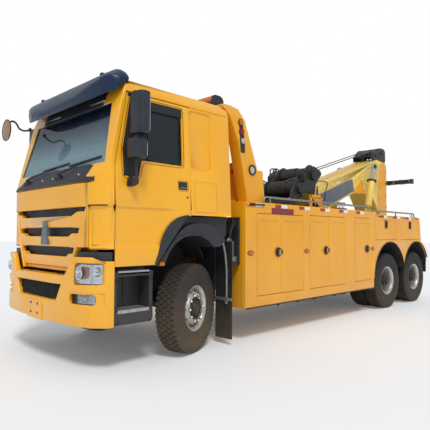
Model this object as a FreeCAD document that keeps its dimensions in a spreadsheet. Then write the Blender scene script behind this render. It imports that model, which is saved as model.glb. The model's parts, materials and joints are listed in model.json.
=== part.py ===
"""Heavy recovery truck: cab-over tractor, locker bodies, two winches, boom and underlift.

Lengths are millimetres. X runs forward, Y to the vehicle's left and Z up from the ground. Every
sub-part is drawn with X counted from the front axle, and its Placement then moves it so that the
origin lies on the ground under the middle of the vehicle. The driving sizes are in the sheet
"dims", and each feature is bound to them.
"""
import FreeCAD, Part
import math
import os
import Sketcher

doc = FreeCAD.newDocument("recovery_truck")

# --------------------------------------------------------------------------- driving sizes
# word, value, what it is
DRIVING_SIZES = (
    ("front_axle_x", 3012.5, "front axle ahead of the origin"),
    ("wheelbase", 5430, "front axle to first rear axle"),
    ("axle_gap", 1350, "first to second rear axle"),
    ("tyre_radius", 562.5, "rolling radius of the tyres"),
    ("tyre_width", 300, "section width of a tyre"),
    ("bead_radius", 256, "where tyre and rim meet"),
    ("kingpin_y", 870, "kingpin off the centre line"),
    ("front_wheel_y", 1010, "centre of a front tyre"),
    ("outer_wheel_y", 1050, "centre of an outer rear tyre"),
    ("twin_gap", 340, "outer to inner rear tyre"),
    ("steer_rest", 20, "angle at which the parked front wheels are turned, degrees"),
    ("rail_y", 385, "centre of a chassis rail"),
    ("rail_wide", 80, "flange width of a rail"),
    ("rail_top", 1040, "top of the rails"),
    ("rail_tall", 280, "depth of the rails"),
    ("cab_half", 1215, "half width of the cab at the doors"),
    ("roof_half", 1150, "half width of the cab at the gutters"),
    ("cab_rear", -650, "rear wall of the cab"),
    ("cab_face", 1385, "front face of the cab"),
    ("door_front", 1165, "front edge of a door"),
    ("door_rear", 85, "rear edge of a door"),
    ("door_low", 1143, "bottom edge of a door"),
    ("gutter_z", 3110, "gutter line over the doors"),
    ("roof_z", 3330, "top of the roof"),
    ("sill_z", 1730, "cab floor over the wheel"),
    ("panel", 50, "thickness of a cab wall or door"),
    ("gap", 6, "running gap round doors and lids"),
    ("bumper_face", 1500, "front of the bumper"),
    ("bumper_low", 500, "bottom of the bumper"),
    ("bumper_top", 1200, "top of the bumper beside the grille"),
    ("body_half", 1248, "half width of the locker bodies"),
    ("body_inner", 680, "inner wall of a locker body"),
    ("body_front", -900, "front end of the locker bodies"),
    ("body_low", 460, "bottom of the locker bodies"),
    ("body_top", 1960, "top of the front lockers"),
    ("body_top_rear", 1905, "top of the rear lockers"),
    ("arch_radius", 690, "wheel arch opening in the body"),
    ("arch_z", 660, "centre of a wheel arch opening"),
    ("skin", 30, "thickness of a locker door"),
    ("deck_top", 1900, "top of the deck plate"),
    ("hoop_half", 1150, "half width of the hoop behind the cab"),
    ("hoop_top", 3354, "top of the hoop"),
    ("boom_half", 300, "half width of the boom"),
    ("boom_foot_x", -4120, "front end of the boom"),
    ("boom_foot_z", 2070, "underside of the boom's front end"),
    ("boom_deep", 390, "depth of the boom's front end"),
    ("boom_knee_x", -6830, "where the boom meets its rear leg"),
    ("boom_knee_z", 3350, "top of the boom over its rear leg"),
    ("leg_rear_x", -7330, "rear face of the leg"),
    ("leg_low_z", 1080, "bottom of the leg"),
    ("lift_y", 450, "lift cylinders off the centre line"),
    ("arm_x", -7465, "centre of the folded underlift arm"),
    ("arm_low_z", 1060, "bottom of the folded underlift arm"),
    ("arm_top_z", 2600, "top of the folded underlift arm"),
    ("bar_z", 2825, "crossbar of the underlift"),
    ("bar_half", 910, "half length of the crossbar"),
    ("fork_pin_radius", 17, "holes for fork pins in the crossbar"),
    ("plate_hole_radius", 4.5, "holes for a number plate"),
    ("hitch_radius", 20, "hole for a hitch pin in the tail beam"),
)

sheet = doc.addObject("Spreadsheet::Sheet", "dims")
for row, (word, value, meaning) in enumerate(DRIVING_SIZES, start=1):
    sheet.set(f"A{row}", word)
    sheet.set(f"B{row}", str(value))
    sheet.set(f"C{row}", meaning)
    sheet.setAlias(f"B{row}", word)
doc.recompute()


class Size:
    """A length that carries its value and its formula in words of the sheet."""

    def __init__(self, formula, value):
        self.formula = formula
        self.value = value

    def __add__(self, other):
        other = as_size(other)
        return Size(f"({self.formula} + {other.formula})", self.value + other.value)

    def __sub__(self, other):
        other = as_size(other)
        return Size(f"({self.formula} - {other.formula})", self.value - other.value)

    def __mul__(self, factor):
        factor = as_size(factor)
        return Size(f"({self.formula} * {factor.formula})", self.value * factor.value)

    def __truediv__(self, divisor):
        divisor = as_size(divisor)
        return Size(f"({self.formula} / {divisor.formula})", self.value / divisor.value)

    def __radd__(self, other):
        return as_size(other) + self

    def __rsub__(self, other):
        return as_size(other) - self

    def __rmul__(self, other):
        return as_size(other) * self

    def __neg__(self):
        return Size(f"(-1 * {self.formula})", -self.value)


def as_size(number):
    """A plain number, or a Size left as it is."""
    if isinstance(number, Size):
        return number
    return Size(f"({float(number):.4f})", float(number))


def cell(word):
    """The driving size with this word."""
    return Size(f"dims.{word}", float(sheet.get(word)))


(front_axle_x, wheelbase, axle_gap, tyre_radius, tyre_width, bead_radius, kingpin_y, front_wheel_y,
 outer_wheel_y, twin_gap, steer_rest, rail_y, rail_wide, rail_top, rail_tall, cab_half, roof_half,
 cab_rear, cab_face, door_front, door_rear, door_low, gutter_z, roof_z, sill_z, panel, gap,
 bumper_face, bumper_low, bumper_top, body_half, body_inner, body_front, body_low, body_top, body_top_rear,
 arch_radius, arch_z, skin, deck_top, hoop_half, hoop_top, boom_half, boom_foot_x, boom_foot_z,
 boom_deep, boom_knee_x, boom_knee_z, leg_rear_x, leg_low_z, lift_y, arm_x, arm_low_z, arm_top_z,
 bar_z, bar_half, fork_pin_radius, plate_hole_radius,
 hitch_radius) = [cell(word) for word, value, meaning in DRIVING_SIZES]

MIRROR_NORMAL = FreeCAD.Vector(0, 1, 0)
AXIS_TURN = {
    "X": FreeCAD.Rotation(FreeCAD.Vector(0, 1, 0), 90),
    "Y": FreeCAD.Rotation(FreeCAD.Vector(1, 0, 0), -90),
    "Z": FreeCAD.Rotation(),
}
# The sketch axes of each origin plane in vehicle axes, and the sign of its normal along the third.
PLANES = {"XY": ("x", "y", "z", 1), "XZ": ("x", "z", "y", -1), "YZ": ("y", "z", "x", 1)}
NODES = []


# --------------------------------------------------------------------------- building blocks
def bind(target, path, length):
    """Bind one property of an object to a length."""
    target.setExpression(path, as_size(length).formula)


def bind_place(target, x, y, z):
    """Bind the position of an object."""
    for axis, length in zip("xyz", (x, y, z)):
        bind(target, f".Placement.Base.{axis}", length)


def block(name, x_span, y_span, z_span):
    """A box between two places on each axis, given low first."""
    box = doc.addObject("Part::Box", name)
    for side, span in zip(("Length", "Width", "Height"), (x_span, y_span, z_span)):
        bind(box, side, as_size(span[1]) - span[0])
    bind_place(box, x_span[0], y_span[0], z_span[0])
    return box


def rod(name, start, axis, radius, length):
    """A round bar from its start along one axis."""
    bar = doc.addObject("Part::Cylinder", name)
    bar.Placement = FreeCAD.Placement(FreeCAD.Vector(), AXIS_TURN[axis])
    bind(bar, "Radius", radius)
    bind(bar, "Height", length)
    bind_place(bar, *start)
    return bar


def slant_rod(name, start, end, radius):
    """A round bar between two points of the XZ plane, as (x, y, z) triples with one y."""
    run_x = as_size(end[0]) - start[0]
    run_z = as_size(end[2]) - start[2]
    angle = math.degrees(math.atan2(run_x.value, run_z.value))
    bar = doc.addObject("Part::Cylinder", name)
    bar.Placement = FreeCAD.Placement(FreeCAD.Vector(), FreeCAD.Rotation(FreeCAD.Vector(0, 1, 0), angle))
    bind(bar, "Radius", radius)
    bar.setExpression("Height", f"sqrt({run_x.formula}^2 + {run_z.formula}^2)")
    bind_place(bar, *start)
    return bar


def plane_of(body, role):
    """One of a body's own origin planes."""
    return [plane for plane in body.Origin.OriginFeatures if plane.Role == f"{role}_Plane"][0]


def draw(sketch, outline):
    """Draw a closed outline of straight lines, with every corner bound to its place."""
    corners = [(as_size(u), as_size(v)) for u, v in outline]
    first = sketch.GeometryCount
    count = len(corners)
    for number in range(count):
        start = corners[number]
        end = corners[(number + 1) % count]
        sketch.addGeometry(Part.LineSegment(FreeCAD.Vector(start[0].value, start[1].value, 0),
                                            FreeCAD.Vector(end[0].value, end[1].value, 0)), False)
    for number in range(count):
        following = first + (number + 1) % count
        sketch.addConstraint(Sketcher.Constraint("Coincident", first + number, 2, following, 1))
    for number, (u, v) in enumerate(corners):
        for kind, length in (("DistanceX", u), ("DistanceY", v)):
            place = Sketcher.Constraint(kind, -1, 1, first + number, 1, length.value)
            index = sketch.addConstraint(place)
            sketch.setExpression(f"Constraints[{index}]", length.formula)


def padded(name, plane, outline, span, rounds=(), windows=()):
    """A body padded across `span` from an outline on one origin plane.

    `rounds` lists (corner numbers of the outline, radius), and `windows` lists inner outlines.
    """
    body = doc.addObject("PartDesign::Body", name)
    sketch = body.newObject("Sketcher::SketchObject", f"{name}_outline")
    sketch.AttachmentSupport = [(plane_of(body, plane), "")]
    sketch.MapMode = "FlatFace"
    for line in (outline, *windows):
        draw(sketch, line)
    first_axis, second_axis, across, sign = PLANES[plane]
    low, high = as_size(span[0]), as_size(span[1])
    start = low if sign > 0 else -high
    bind(sketch, ".AttachmentOffset.Base.z", start)
    pad = body.newObject("PartDesign::Pad", f"{name}_pad")
    pad.Profile = sketch
    pad.Length = high.value - low.value
    bind(pad, "Length", high - low)
    sketch.Visibility = False
    if rounds:
        doc.recompute()
        for number, (corners, radius) in enumerate(rounds):
            places = [(as_size(outline[corner][0]).value, as_size(outline[corner][1]).value)
                      for corner in corners]
            base = body.Tip
            edges = [f"Edge{index}" for index, edge in enumerate(base.Shape.Edges, start=1)
                     if any(all(abs(getattr(vertex.Point, first_axis) - place[0]) < 0.01
                                and abs(getattr(vertex.Point, second_axis) - place[1]) < 0.01
                                for vertex in edge.Vertexes) for place in places)]
            fillet = body.newObject("PartDesign::Fillet", f"{name}_round_{number}")
            fillet.Base = (base, edges)
            fillet.Radius = as_size(radius).value
            bind(fillet, "Radius", radius)
            doc.recompute()
    return body


def turned(name, outline):
    """A body turned about the Y axis from an outline of (y, radius) corners."""
    body = doc.addObject("PartDesign::Body", name)
    sketch = body.newObject("Sketcher::SketchObject", f"{name}_outline")
    sketch.AttachmentSupport = [(plane_of(body, "YZ"), "")]
    sketch.MapMode = "FlatFace"
    draw(sketch, outline)
    revolution = body.newObject("PartDesign::Revolution", f"{name}_turn")
    revolution.Profile = sketch
    revolution.ReferenceAxis = (sketch, ["H_Axis"])
    revolution.Angle = 360
    return body


def fused(name, *solids):
    """One solid of several that meet."""
    union = doc.addObject("Part::MultiFuse", name)
    union.Shapes = list(solids)
    union.Refine = True
    return union


def without(name, solid, *tools):
    """A solid with other solids taken out of it."""
    for number, tool in enumerate(tools):
        cut = doc.addObject("Part::Cut", f"{name}_{number}" if number < len(tools) - 1 else name)
        cut.Base = solid
        cut.Tool = tool
        solid = cut
    return solid


def shared(name, *solids):
    """What several solids have in common."""
    common = doc.addObject("Part::MultiCommon", name)
    common.Shapes = list(solids)
    return common


def moved(name, source, x, y, z, turn=FreeCAD.Rotation()):
    """A copy of a solid that stands at another place."""
    copy = doc.addObject("Part::Compound", name)
    copy.Links = [source]
    copy.Placement = FreeCAD.Placement(FreeCAD.Vector(), turn)
    bind_place(copy, x, y, z)
    return copy


def mirrored(name, source):
    """The same solid on the other side of the vehicle."""
    mirror = doc.addObject("Part::Mirroring", name)
    mirror.Source = source
    mirror.Base = FreeCAD.Vector()
    mirror.Normal = MIRROR_NORMAL
    return mirror


def pair(name, source):
    """A solid and its mirror image."""
    return [source, mirrored(f"{name}_mirror", source)]


def node(name, *solids, y=0, turn=0):
    """A sub-part: its solids, moved from the front axle to the vehicle's origin."""
    part = doc.addObject("Part::Compound", f"{name}_part")
    part.Label = name
    part.Links = list(solids)
    upright = FreeCAD.Vector(0, 0, 1)
    part.Placement = FreeCAD.Placement(FreeCAD.Vector(), FreeCAD.Rotation(upright, turn))
    bind_place(part, front_axle_x, y, 0)
    NODES.append(part)
    return part


def both_sides(name, source):
    """A sub-part on the left and its mirror image on the right."""
    node(f"{name}_left", source)
    node(f"{name}_right", mirrored(f"{name}_mirror", source))


# --------------------------------------------------------------------------- chassis
mid_axle_x = -wheelbase
rear_axle_x = -wheelbase - axle_gap
rail_low = rail_top - rail_tall
rail_inside = rail_y - rail_wide / 2
rail_outside = rail_y + rail_wide / 2
frame_front = cab_face + 15
frame_rear = rear_axle_x - 270
tail_gap = 60


def make_chassis():
    """Two rails with crossmembers, outriggers under the lockers, a tail beam and air tanks."""
    pieces = [block("rail_left", (frame_rear, frame_front), (rail_inside, rail_outside),
                    (rail_low, rail_top)),
              block("rail_right", (frame_rear, frame_front), (-rail_outside, -rail_inside),
                    (rail_low, rail_top))]
    cross_places = (1150, -1100, -2600, -4200, mid_axle_x - 350, rear_axle_x - 120)
    for number, place in enumerate(cross_places):
        pieces.append(block(f"crossmember_{number}", (as_size(place) - 30, as_size(place) + 30),
                            (-rail_inside, rail_inside), (rail_low + 40, rail_top - 40)))
    for number, place in enumerate((-1100, -2600, -4200)):
        pieces.append(block(f"outrigger_{number}", (place - 40, place + 40), (rail_outside, body_inner),
                            (rail_low + 120, rail_top - 40)))
        pieces.append(block(f"outrigger_right_{number}", (place - 40, place + 40),
                            (-body_inner, -rail_outside), (rail_low + 120, rail_top - 40)))
    for side, sign in (("left", 1), ("right", -1)):
        inner = sorted((sign * (rail_y + 40).value, sign * 520))
        pieces.append(rod(f"air_tank_{side}", (-4120, sign * 555, 590), "X", 105, 620))
        pieces.append(block(f"tank_bracket_{side}", (-3860, -3800), inner, (rail_low - 120, rail_low + 60)))
        pieces.append(block(f"cab_mount_{side}", (1090, 1150),
                            sorted((sign * rail_inside.value, sign * rail_outside.value)),
                            (rail_top, door_low - 11)))
    tail_half = outer_wheel_y - twin_gap - half_tyre - tail_gap
    pieces.append(block("tail_beam", (frame_rear - 80, frame_rear), (-tail_half, tail_half),
                        (body_low + 120, rail_low + 60)))
    hitch = rod("hitch_hole", (frame_rear - 40, 0, body_low), "Z", hitch_radius, 600)
    node("chassis_frame", without("frame_bored", fused("frame_all", *pieces), hitch))


def make_axles():
    """The front beam and the driven rear axles, with their springs and drive shafts."""
    centre = tyre_radius
    beam = [block("beam", (-45, 45), (-kingpin_y, kingpin_y), (centre - 50, centre + 30))]
    leaf_outline = ((-760, 700), (-760, rail_low), (-720, rail_low), (-700, 735), (-90, centre + 95),
                    (90, centre + 95), (700, 735), (720, rail_low), (760, rail_low), (760, 700),
                    (90, centre + 30), (-90, centre + 30))
    for side, sign in (("left", 1), ("right", -1)):
        beam.append(rod(f"kingpin_boss_{side}", (0, sign * kingpin_y, centre - 78), "Z", 52, 156))
        across = sorted((sign * (rail_y.value - 38), sign * (rail_y.value + 38)))
        beam.append(padded(f"front_leaf_{side}", "XZ", leaf_outline, across))
    bores = [rod(f"kingpin_bore_{side}", (0, sign * kingpin_y, centre - 90), "Z", 27, 180)
             for side, sign in (("left", 1), ("right", -1))]
    front = without("front_axle", fused("front_beam", *beam), *bores)
    rear = []
    for name, place in (("mid", mid_axle_x), ("rear", rear_axle_x)):
        rear.append(rod(f"{name}_tube", (place, -outer_wheel_y + 30, centre), "Y", 58,
                        (outer_wheel_y - 30) * 2))
        rear.append(rod(f"{name}_sleeve", (place, -530, centre), "Y", 80, 1060))
        rear.append(rod(f"{name}_housing", (place, -170, centre), "Y", 210, 340))
    rear.append(rod("main_shaft", (mid_axle_x + 150, 0, centre + 60), "X", 45,
                    -mid_axle_x - 150 - 760))
    rear.append(rod("short_shaft", (rear_axle_x + 150, 0, centre + 60), "X", 45, axle_gap - 300))
    trunnion_x = mid_axle_x - axle_gap / 2
    spring_outline = ((mid_axle_x + 120, centre + 70), (mid_axle_x + 120, centre + 100),
                      (trunnion_x + 200, centre + 160), (trunnion_x - 200, centre + 160),
                      (rear_axle_x - 120, centre + 100), (rear_axle_x - 120, centre + 70),
                      (trunnion_x - 200, centre + 60), (trunnion_x + 200, centre + 60))
    for side, sign in (("left", 1), ("right", -1)):
        across = sorted((sign * (rail_outside.value + 8), sign * (rail_outside.value + 88)))
        rear.append(padded(f"rear_leaf_{side}", "XZ", spring_outline, across))
        reach = sorted((sign * rail_outside.value, sign * (rail_outside.value + 88)))
        rear.append(block(f"trunnion_{side}", (trunnion_x - 90, trunnion_x + 90), reach,
                          (centre + 100, rail_top - 60)))
    node("axles_and_springs", front, fused("rear_axles", *rear))


# --------------------------------------------------------------------------- wheels
half_tyre = tyre_width / 2
well = bead_radius - 16
flange = bead_radius + 32
edge = half_tyre - 20
flange_inside = edge - 12
TYRE_OUTLINE = ((-flange_inside, bead_radius), (-flange_inside, flange + 1),
                (-half_tyre + 8, bead_radius + 50),
                (-half_tyre, bead_radius + 145), (-half_tyre + 12, tyre_radius - 55),
                (-half_tyre + 36, tyre_radius - 4), (-half_tyre + 60, tyre_radius),
                (half_tyre - 60, tyre_radius), (half_tyre - 36, tyre_radius - 4),
                (half_tyre - 12, tyre_radius - 55), (half_tyre, bead_radius + 145),
                (half_tyre - 8, bead_radius + 50), (flange_inside, flange + 1), (flange_inside, bead_radius))


def make_front_wheels():
    """Knuckles, rims and tyres that steer; drawn about the left kingpin."""
    offset = front_wheel_y - kingpin_y
    centre = tyre_radius
    spindle = fused("knuckle_solid",
                    block("upper_ear", (-45, 45), (-45, 82), (centre + 84, centre + 124)),
                    block("lower_ear", (-45, 45), (-45, 82), (centre - 124, centre - 84)),
                    block("web", (-45, 45), (58, 82), (centre - 124, centre + 124)),
                    rod("kingpin", (0, 0, centre - 124), "Z", 23, 248),
                    rod("spindle", (0, 58, centre), "Y", 46, offset + half_tyre - 44 - 58))
    tyre = turned("front_tyre_turned", TYRE_OUTLINE)
    rim = turned("front_rim_turned", (
        (-edge, flange), (-edge, well), (edge - 62, well), (edge - 40, well - 95),
        (edge - 40, 125), (-18, 105), (-18, 55), (half_tyre - 34, 55), (half_tyre - 34, 0),
        (half_tyre + 24, 0), (half_tyre + 20, 78), (half_tyre + 8, 122), (edge + 2, 128),
        (edge + 2, well - 88), (edge - 20, well - 64), (edge - 40, bead_radius - 4),
        (edge - 12, bead_radius - 4), (edge, flange), (edge - 12, flange), (edge - 12, bead_radius),
        (-edge + 12, bead_radius), (-edge + 12, flange)))
    for name, solid in (("tyre", tyre), ("rim", rim)):
        wheel = moved(f"front_{name}_placed", solid, 0, offset, centre)
        node(f"front_{name}_left", wheel, y=kingpin_y, turn=steer_rest.value)
        node(f"front_{name}_right", mirrored(f"front_{name}_mirror", wheel), y=-kingpin_y,
             turn=steer_rest.value)
    node("knuckle_left", spindle, y=kingpin_y, turn=steer_rest.value)
    node("knuckle_right", mirrored("knuckle_mirror", spindle), y=-kingpin_y, turn=steer_rest.value)


def make_rear_wheels():
    """Twin wheels: two tyres, and two dished rims on one hub."""
    centre = tyre_radius
    tyre = turned("rear_tyre_turned", TYRE_OUTLINE)
    seam = -twin_gap / 2
    twin = -twin_gap
    rims = turned("twin_rims_turned", (
        (twin - edge, flange), (twin - edge, well), (twin + edge - 30, well), (seam - 12, well - 60),
        (seam - 12, 130), (seam - 60, 110), (seam - 60, 66), (edge - 20, 66), (edge - 20, 0),
        (edge + 25, 0), (edge + 20, 70), (edge - 30, 104), (seam + 40, 112), (seam + 16, 130),
        (seam + 16, well - 60), (-edge + 30, well), (edge, well), (edge, flange), (edge - 12, flange),
        (edge - 12, bead_radius), (-edge + 12, bead_radius), (-edge + 12, flange), (-edge, flange),
        (-edge, well + 4), (seam + 4, well - 46), (twin + edge, well + 4), (twin + edge, flange),
        (twin + edge - 12, flange), (twin + edge - 12, bead_radius), (twin - edge + 12, bead_radius),
        (twin - edge + 12, flange)))
    for axle, place in (("mid", mid_axle_x), ("rear", rear_axle_x)):
        outer = moved(f"{axle}_outer_tyre", tyre, place, outer_wheel_y, centre)
        inner = moved(f"{axle}_inner_tyre", tyre, place, outer_wheel_y - twin_gap, centre)
        hub = moved(f"{axle}_twin_rims", rims, place, outer_wheel_y, centre)
        node(f"{axle}_tyres_left", outer, inner)
        node(f"{axle}_tyres_right", mirrored(f"{axle}_outer_mirror", outer),
             mirrored(f"{axle}_inner_mirror", inner))
        both_sides(f"{axle}_rims", hub)


# --------------------------------------------------------------------------- cab
def front_view(inset):
    """Half of the cab seen from the front, from the floor up to the roof's middle."""
    return ((cab_half - inset, 1000), (cab_half - inset, 1810), (cab_half - 15 - inset, 2120),
            (roof_half - inset, gutter_z), (roof_half - 30 - inset, gutter_z + 90),
            (roof_half - 130 - inset, roof_z - 50 - inset), (600, roof_z - 10 - inset))


def whole(half):
    """Close a half outline over the centre line."""
    return tuple(half) + tuple((-corner[0], corner[1]) for corner in reversed(half))


def side_view(inset):
    """The cab seen from the side; the front face is inset more, to leave a firewall."""
    fire = 135 if inset else 0
    return ((cab_rear + inset, sill_z + inset), (110, sill_z + inset), (610, door_low - 6 + inset),
            (door_front + 5 - inset, door_low - 6 + inset), (door_front + 5 - inset, 1330 + inset),
            (cab_face - inset - fire, 1330 + inset), (cab_face - inset - fire, 2090 - inset),
            (cab_face - 140 - inset, 2270), (cab_face - 310 - inset, 3010),
            (cab_face - 405 - inset, roof_z - 60 - inset), (cab_face - 500 - inset, roof_z - inset),
            (cab_rear + 110 + inset, roof_z - inset), (cab_rear + inset, roof_z - 160 - inset))


def top_view(inset):
    """The cab seen from above, with swept front corners."""
    half = ((cab_rear + inset, cab_half + 10 - inset), (door_front + 5, cab_half + 10 - inset),
            (cab_face - 130, cab_half - 50 - inset), (cab_face - 45 - inset, cab_half - 205 - inset),
            (cab_face - inset, 700))
    return half + tuple((corner[0], -corner[1]) for corner in reversed(half))


def door_outline(grow):
    """A door seen from the side."""
    return ((door_front + grow, door_low - grow), (613 - grow / 2, door_low - grow),
            (110 - grow, 1738 - grow / 2), (door_rear - grow, 1738 - grow / 2),
            (door_rear - grow, gutter_z - 15 + grow), (1000 + grow, gutter_z - 15 + grow),
            (1012 + grow, 3000), (door_front + grow, 2250 + grow))


def window_outline(grow):
    """The side window with its dipped front quarter."""
    return ((207 - grow, 2335 - grow), (207 - grow, 3040 + grow), (958 + grow, 3040 + grow),
            (1070 + grow, 2440), (1058 + grow, 2140 - grow), (862 - grow, 2140 - grow),
            (815 - grow, 2335 - grow))


def screen_outline(grow):
    """The windscreen seen from the front."""
    return whole(((1085 + grow, 2290 - grow), (955 + grow, 2995 + grow)))


def make_cab():
    """The hollow cab with its windows cut, its doors, glass, grille lid and visor."""
    front_far = cab_face + 60
    wide = cab_half + 100
    outer = shared("cab_outer",
                   padded("cab_front_view", "YZ", whole(front_view(0)), (cab_rear - 10, front_far)),
                   padded("cab_side_view", "XZ", side_view(0), (-wide, wide)),
                   padded("cab_top_view", "XY", top_view(0), (1000, roof_z + 60)))
    room = shared("cab_room",
                  padded("room_front_view", "YZ", whole(front_view(panel)), (cab_rear, front_far)),
                  padded("room_side_view", "XZ", side_view(panel), (-wide, wide)),
                  padded("room_top_view", "XY", top_view(panel), (1000, roof_z + 60)))
    lid_pocket = block("lid_pocket", (cab_face - 135, front_far), (-966, 966), (1000, 2068))
    opening = padded("door_opening", "XZ", door_outline(gap), (800, wide))
    screen_hole = padded("screen_hole", "YZ", screen_outline(1), (cab_face - 520, front_far))
    recess = padded("sleeper_recess", "XZ", ((-290, 2300), (-290, 3060), (60, 3060), (60, 2300)),
                    (roof_half - 6, wide), rounds=(((0, 1, 2, 3), 40),))
    shell = without("cab_hollow", outer, room, lid_pocket, opening, mirrored("opening_mirror", opening),
                    screen_hole, recess, mirrored("recess_mirror", recess))
    node("cab_shell", shell)

    lid_edge = whole(((955, 2062), (955, 1345), (775, 1345), (640, 1062)))
    slots = [whole(((822 - step, 1700 - 128 * number), (800 - step, 1640 - 128 * number)))
             for number, step in enumerate((0, 45, 90, 135))]
    lid = padded("grille_lid", "YZ", lid_edge, (cab_face - 100, cab_face + 8), windows=slots)
    node("front_panel", shared("grille_lid_bent", lid,
                               padded("lid_top_view", "XY", top_view(-8), (1000, 2100))))

    glass_slab = padded("glass_slab", "XZ",
                        ((cab_face - 168, 2270), (cab_face - 156, 2270), (cab_face - 326, 3010),
                         (cab_face - 338, 3010)), (-wide, wide))
    node("windscreen", shared("windscreen_cut", glass_slab,
                              padded("screen_shape", "YZ", screen_outline(0), (cab_face - 520, front_far))))

    door_wall = padded("door_wall", "YZ", front_view(0)[:4] + tuple(reversed(front_view(panel)[:4])),
                       (door_rear - 30, door_front + 30))
    door_shape = padded("door_shape", "XZ", door_outline(0), (800, wide), windows=(window_outline(0),))
    both_sides("door", shared("door_solid", door_wall, door_shape))
    pane = padded("pane", "YZ", front_view(18)[:4] + tuple(reversed(front_view(26)[:4])),
                  (door_rear - 30, door_front + 30))
    pane_shape = padded("pane_shape", "XZ", window_outline(-1), (800, wide))
    both_sides("door_glass", shared("pane_cut", pane, pane_shape))

    visor_outline = ((960, roof_z + 5), (965, roof_z + 60), (1030, roof_z + 75), (1150, roof_z - 40),
                     (1285, 3090), (1280, 3045), (1250, 3030), (1105, 3120), (1080, 3190))
    visor_edge = ((700, 1140), (1075, 1140), (1150, 1080), (1240, 800), (1290, 300))
    visor = shared("visor",
                   padded("visor_side_view", "XZ", visor_outline, (-1140, 1140), rounds=(((2,), 50),)),
                   padded("visor_top_view", "XY",
                          visor_edge + tuple((x, -y) for x, y in reversed(visor_edge)), (2900, roof_z + 200)))
    node("sun_visor", visor)


def make_cab_fittings():
    """Mirrors, and what shows through the glass."""
    head = padded("mirror_head", "XY", ((880, 1262), (1000, 1242), (1016, 1262), (1010, 1420),
                                        (980, 1460), (895, 1440)), (2645, 3060), rounds=(((2, 4), 20),))
    small = padded("mirror_small", "XY", ((905, 1262), (1050, 1250), (1060, 1400), (930, 1420)),
                   (2370, 2560), rounds=(((0, 3), 20),))
    lower_arm = rod("mirror_lower_arm", (985, cab_half + 5, 2060), "Y", 16, 118)
    upper_arm = block("mirror_upper_arm", (955, 985), (roof_half + 3, 1330), (3058, 3080))
    post = rod("mirror_post", (985, 1322, 2050), "Z", 15, 1028)
    fixing = padded("mirror_fixing", "YZ", ((cab_half - 10.16, 2020), (cab_half + 15, 2020),
                                            (cab_half + 15, 2100), (cab_half - 14.03, 2100)), (950, 1020))
    both_sides("mirror", fused("mirror_solid", head, small, lower_arm, upper_arm, post, fixing))

    round_head = rod("round_head", (1505, -950, 2905), "X", 150, 45)
    hanger = fused("round_mirror_solid", round_head,
                   slant_rod("hanger_low", (1500, -950, 2905), (1440, -950, 3110), 13),
                   slant_rod("hanger_high", (1441, -950, 3098), (1208, -950, 3222), 13))
    node("front_mirror", hanger)

    dash = padded("dash", "XZ", ((cab_face - 190, 1850), (cab_face - 190, 2215), (cab_face - 260, 2240),
                                 (cab_face - 420, 2190), (cab_face - 440, 2090), (cab_face - 330, 1850)),
                  (-1085, 1085))
    wheel_turn = FreeCAD.Rotation(FreeCAD.Vector(0, 1, 0), -28)
    ring = doc.addObject("Part::Torus", "steering_ring")
    ring.Radius1 = 235
    ring.Radius2 = 17
    ring.Placement = FreeCAD.Placement(FreeCAD.Vector(720, 520, 2195), wheel_turn)
    spoke = doc.addObject("Part::Box", "steering_spoke")
    spoke.Length = 44
    spoke.Width = 464
    spoke.Height = 22
    spoke.Placement = FreeCAD.Placement(FreeCAD.Vector(701, 520 - 232, 2185), wheel_turn)
    column = slant_rod("steering_column", (714, 520, 2201), (1050, 520, 1894), 32)
    seats = [padded(f"seat_{side}", "XZ",
                    ((-60, sill_z + 52), (80, sill_z + 52), (110, 1900), (430, 1940), (440, 2050),
                     (60, 2060), (10, 2360), (-40, 2800), (-130, 2800), (-120, 2300), (-70, 1930)),
                    (middle - 240, middle + 240), rounds=(((7, 8), 35),))
             for side, middle in (("left", 520), ("right", -520))]
    bunk = block("bunk", (cab_rear + 55, -230), (-1090, 1090), (sill_z + 52, 2120))
    node("cab_interior", fused("dashboard", dash, ring, spoke, column), *seats, bunk)


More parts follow.
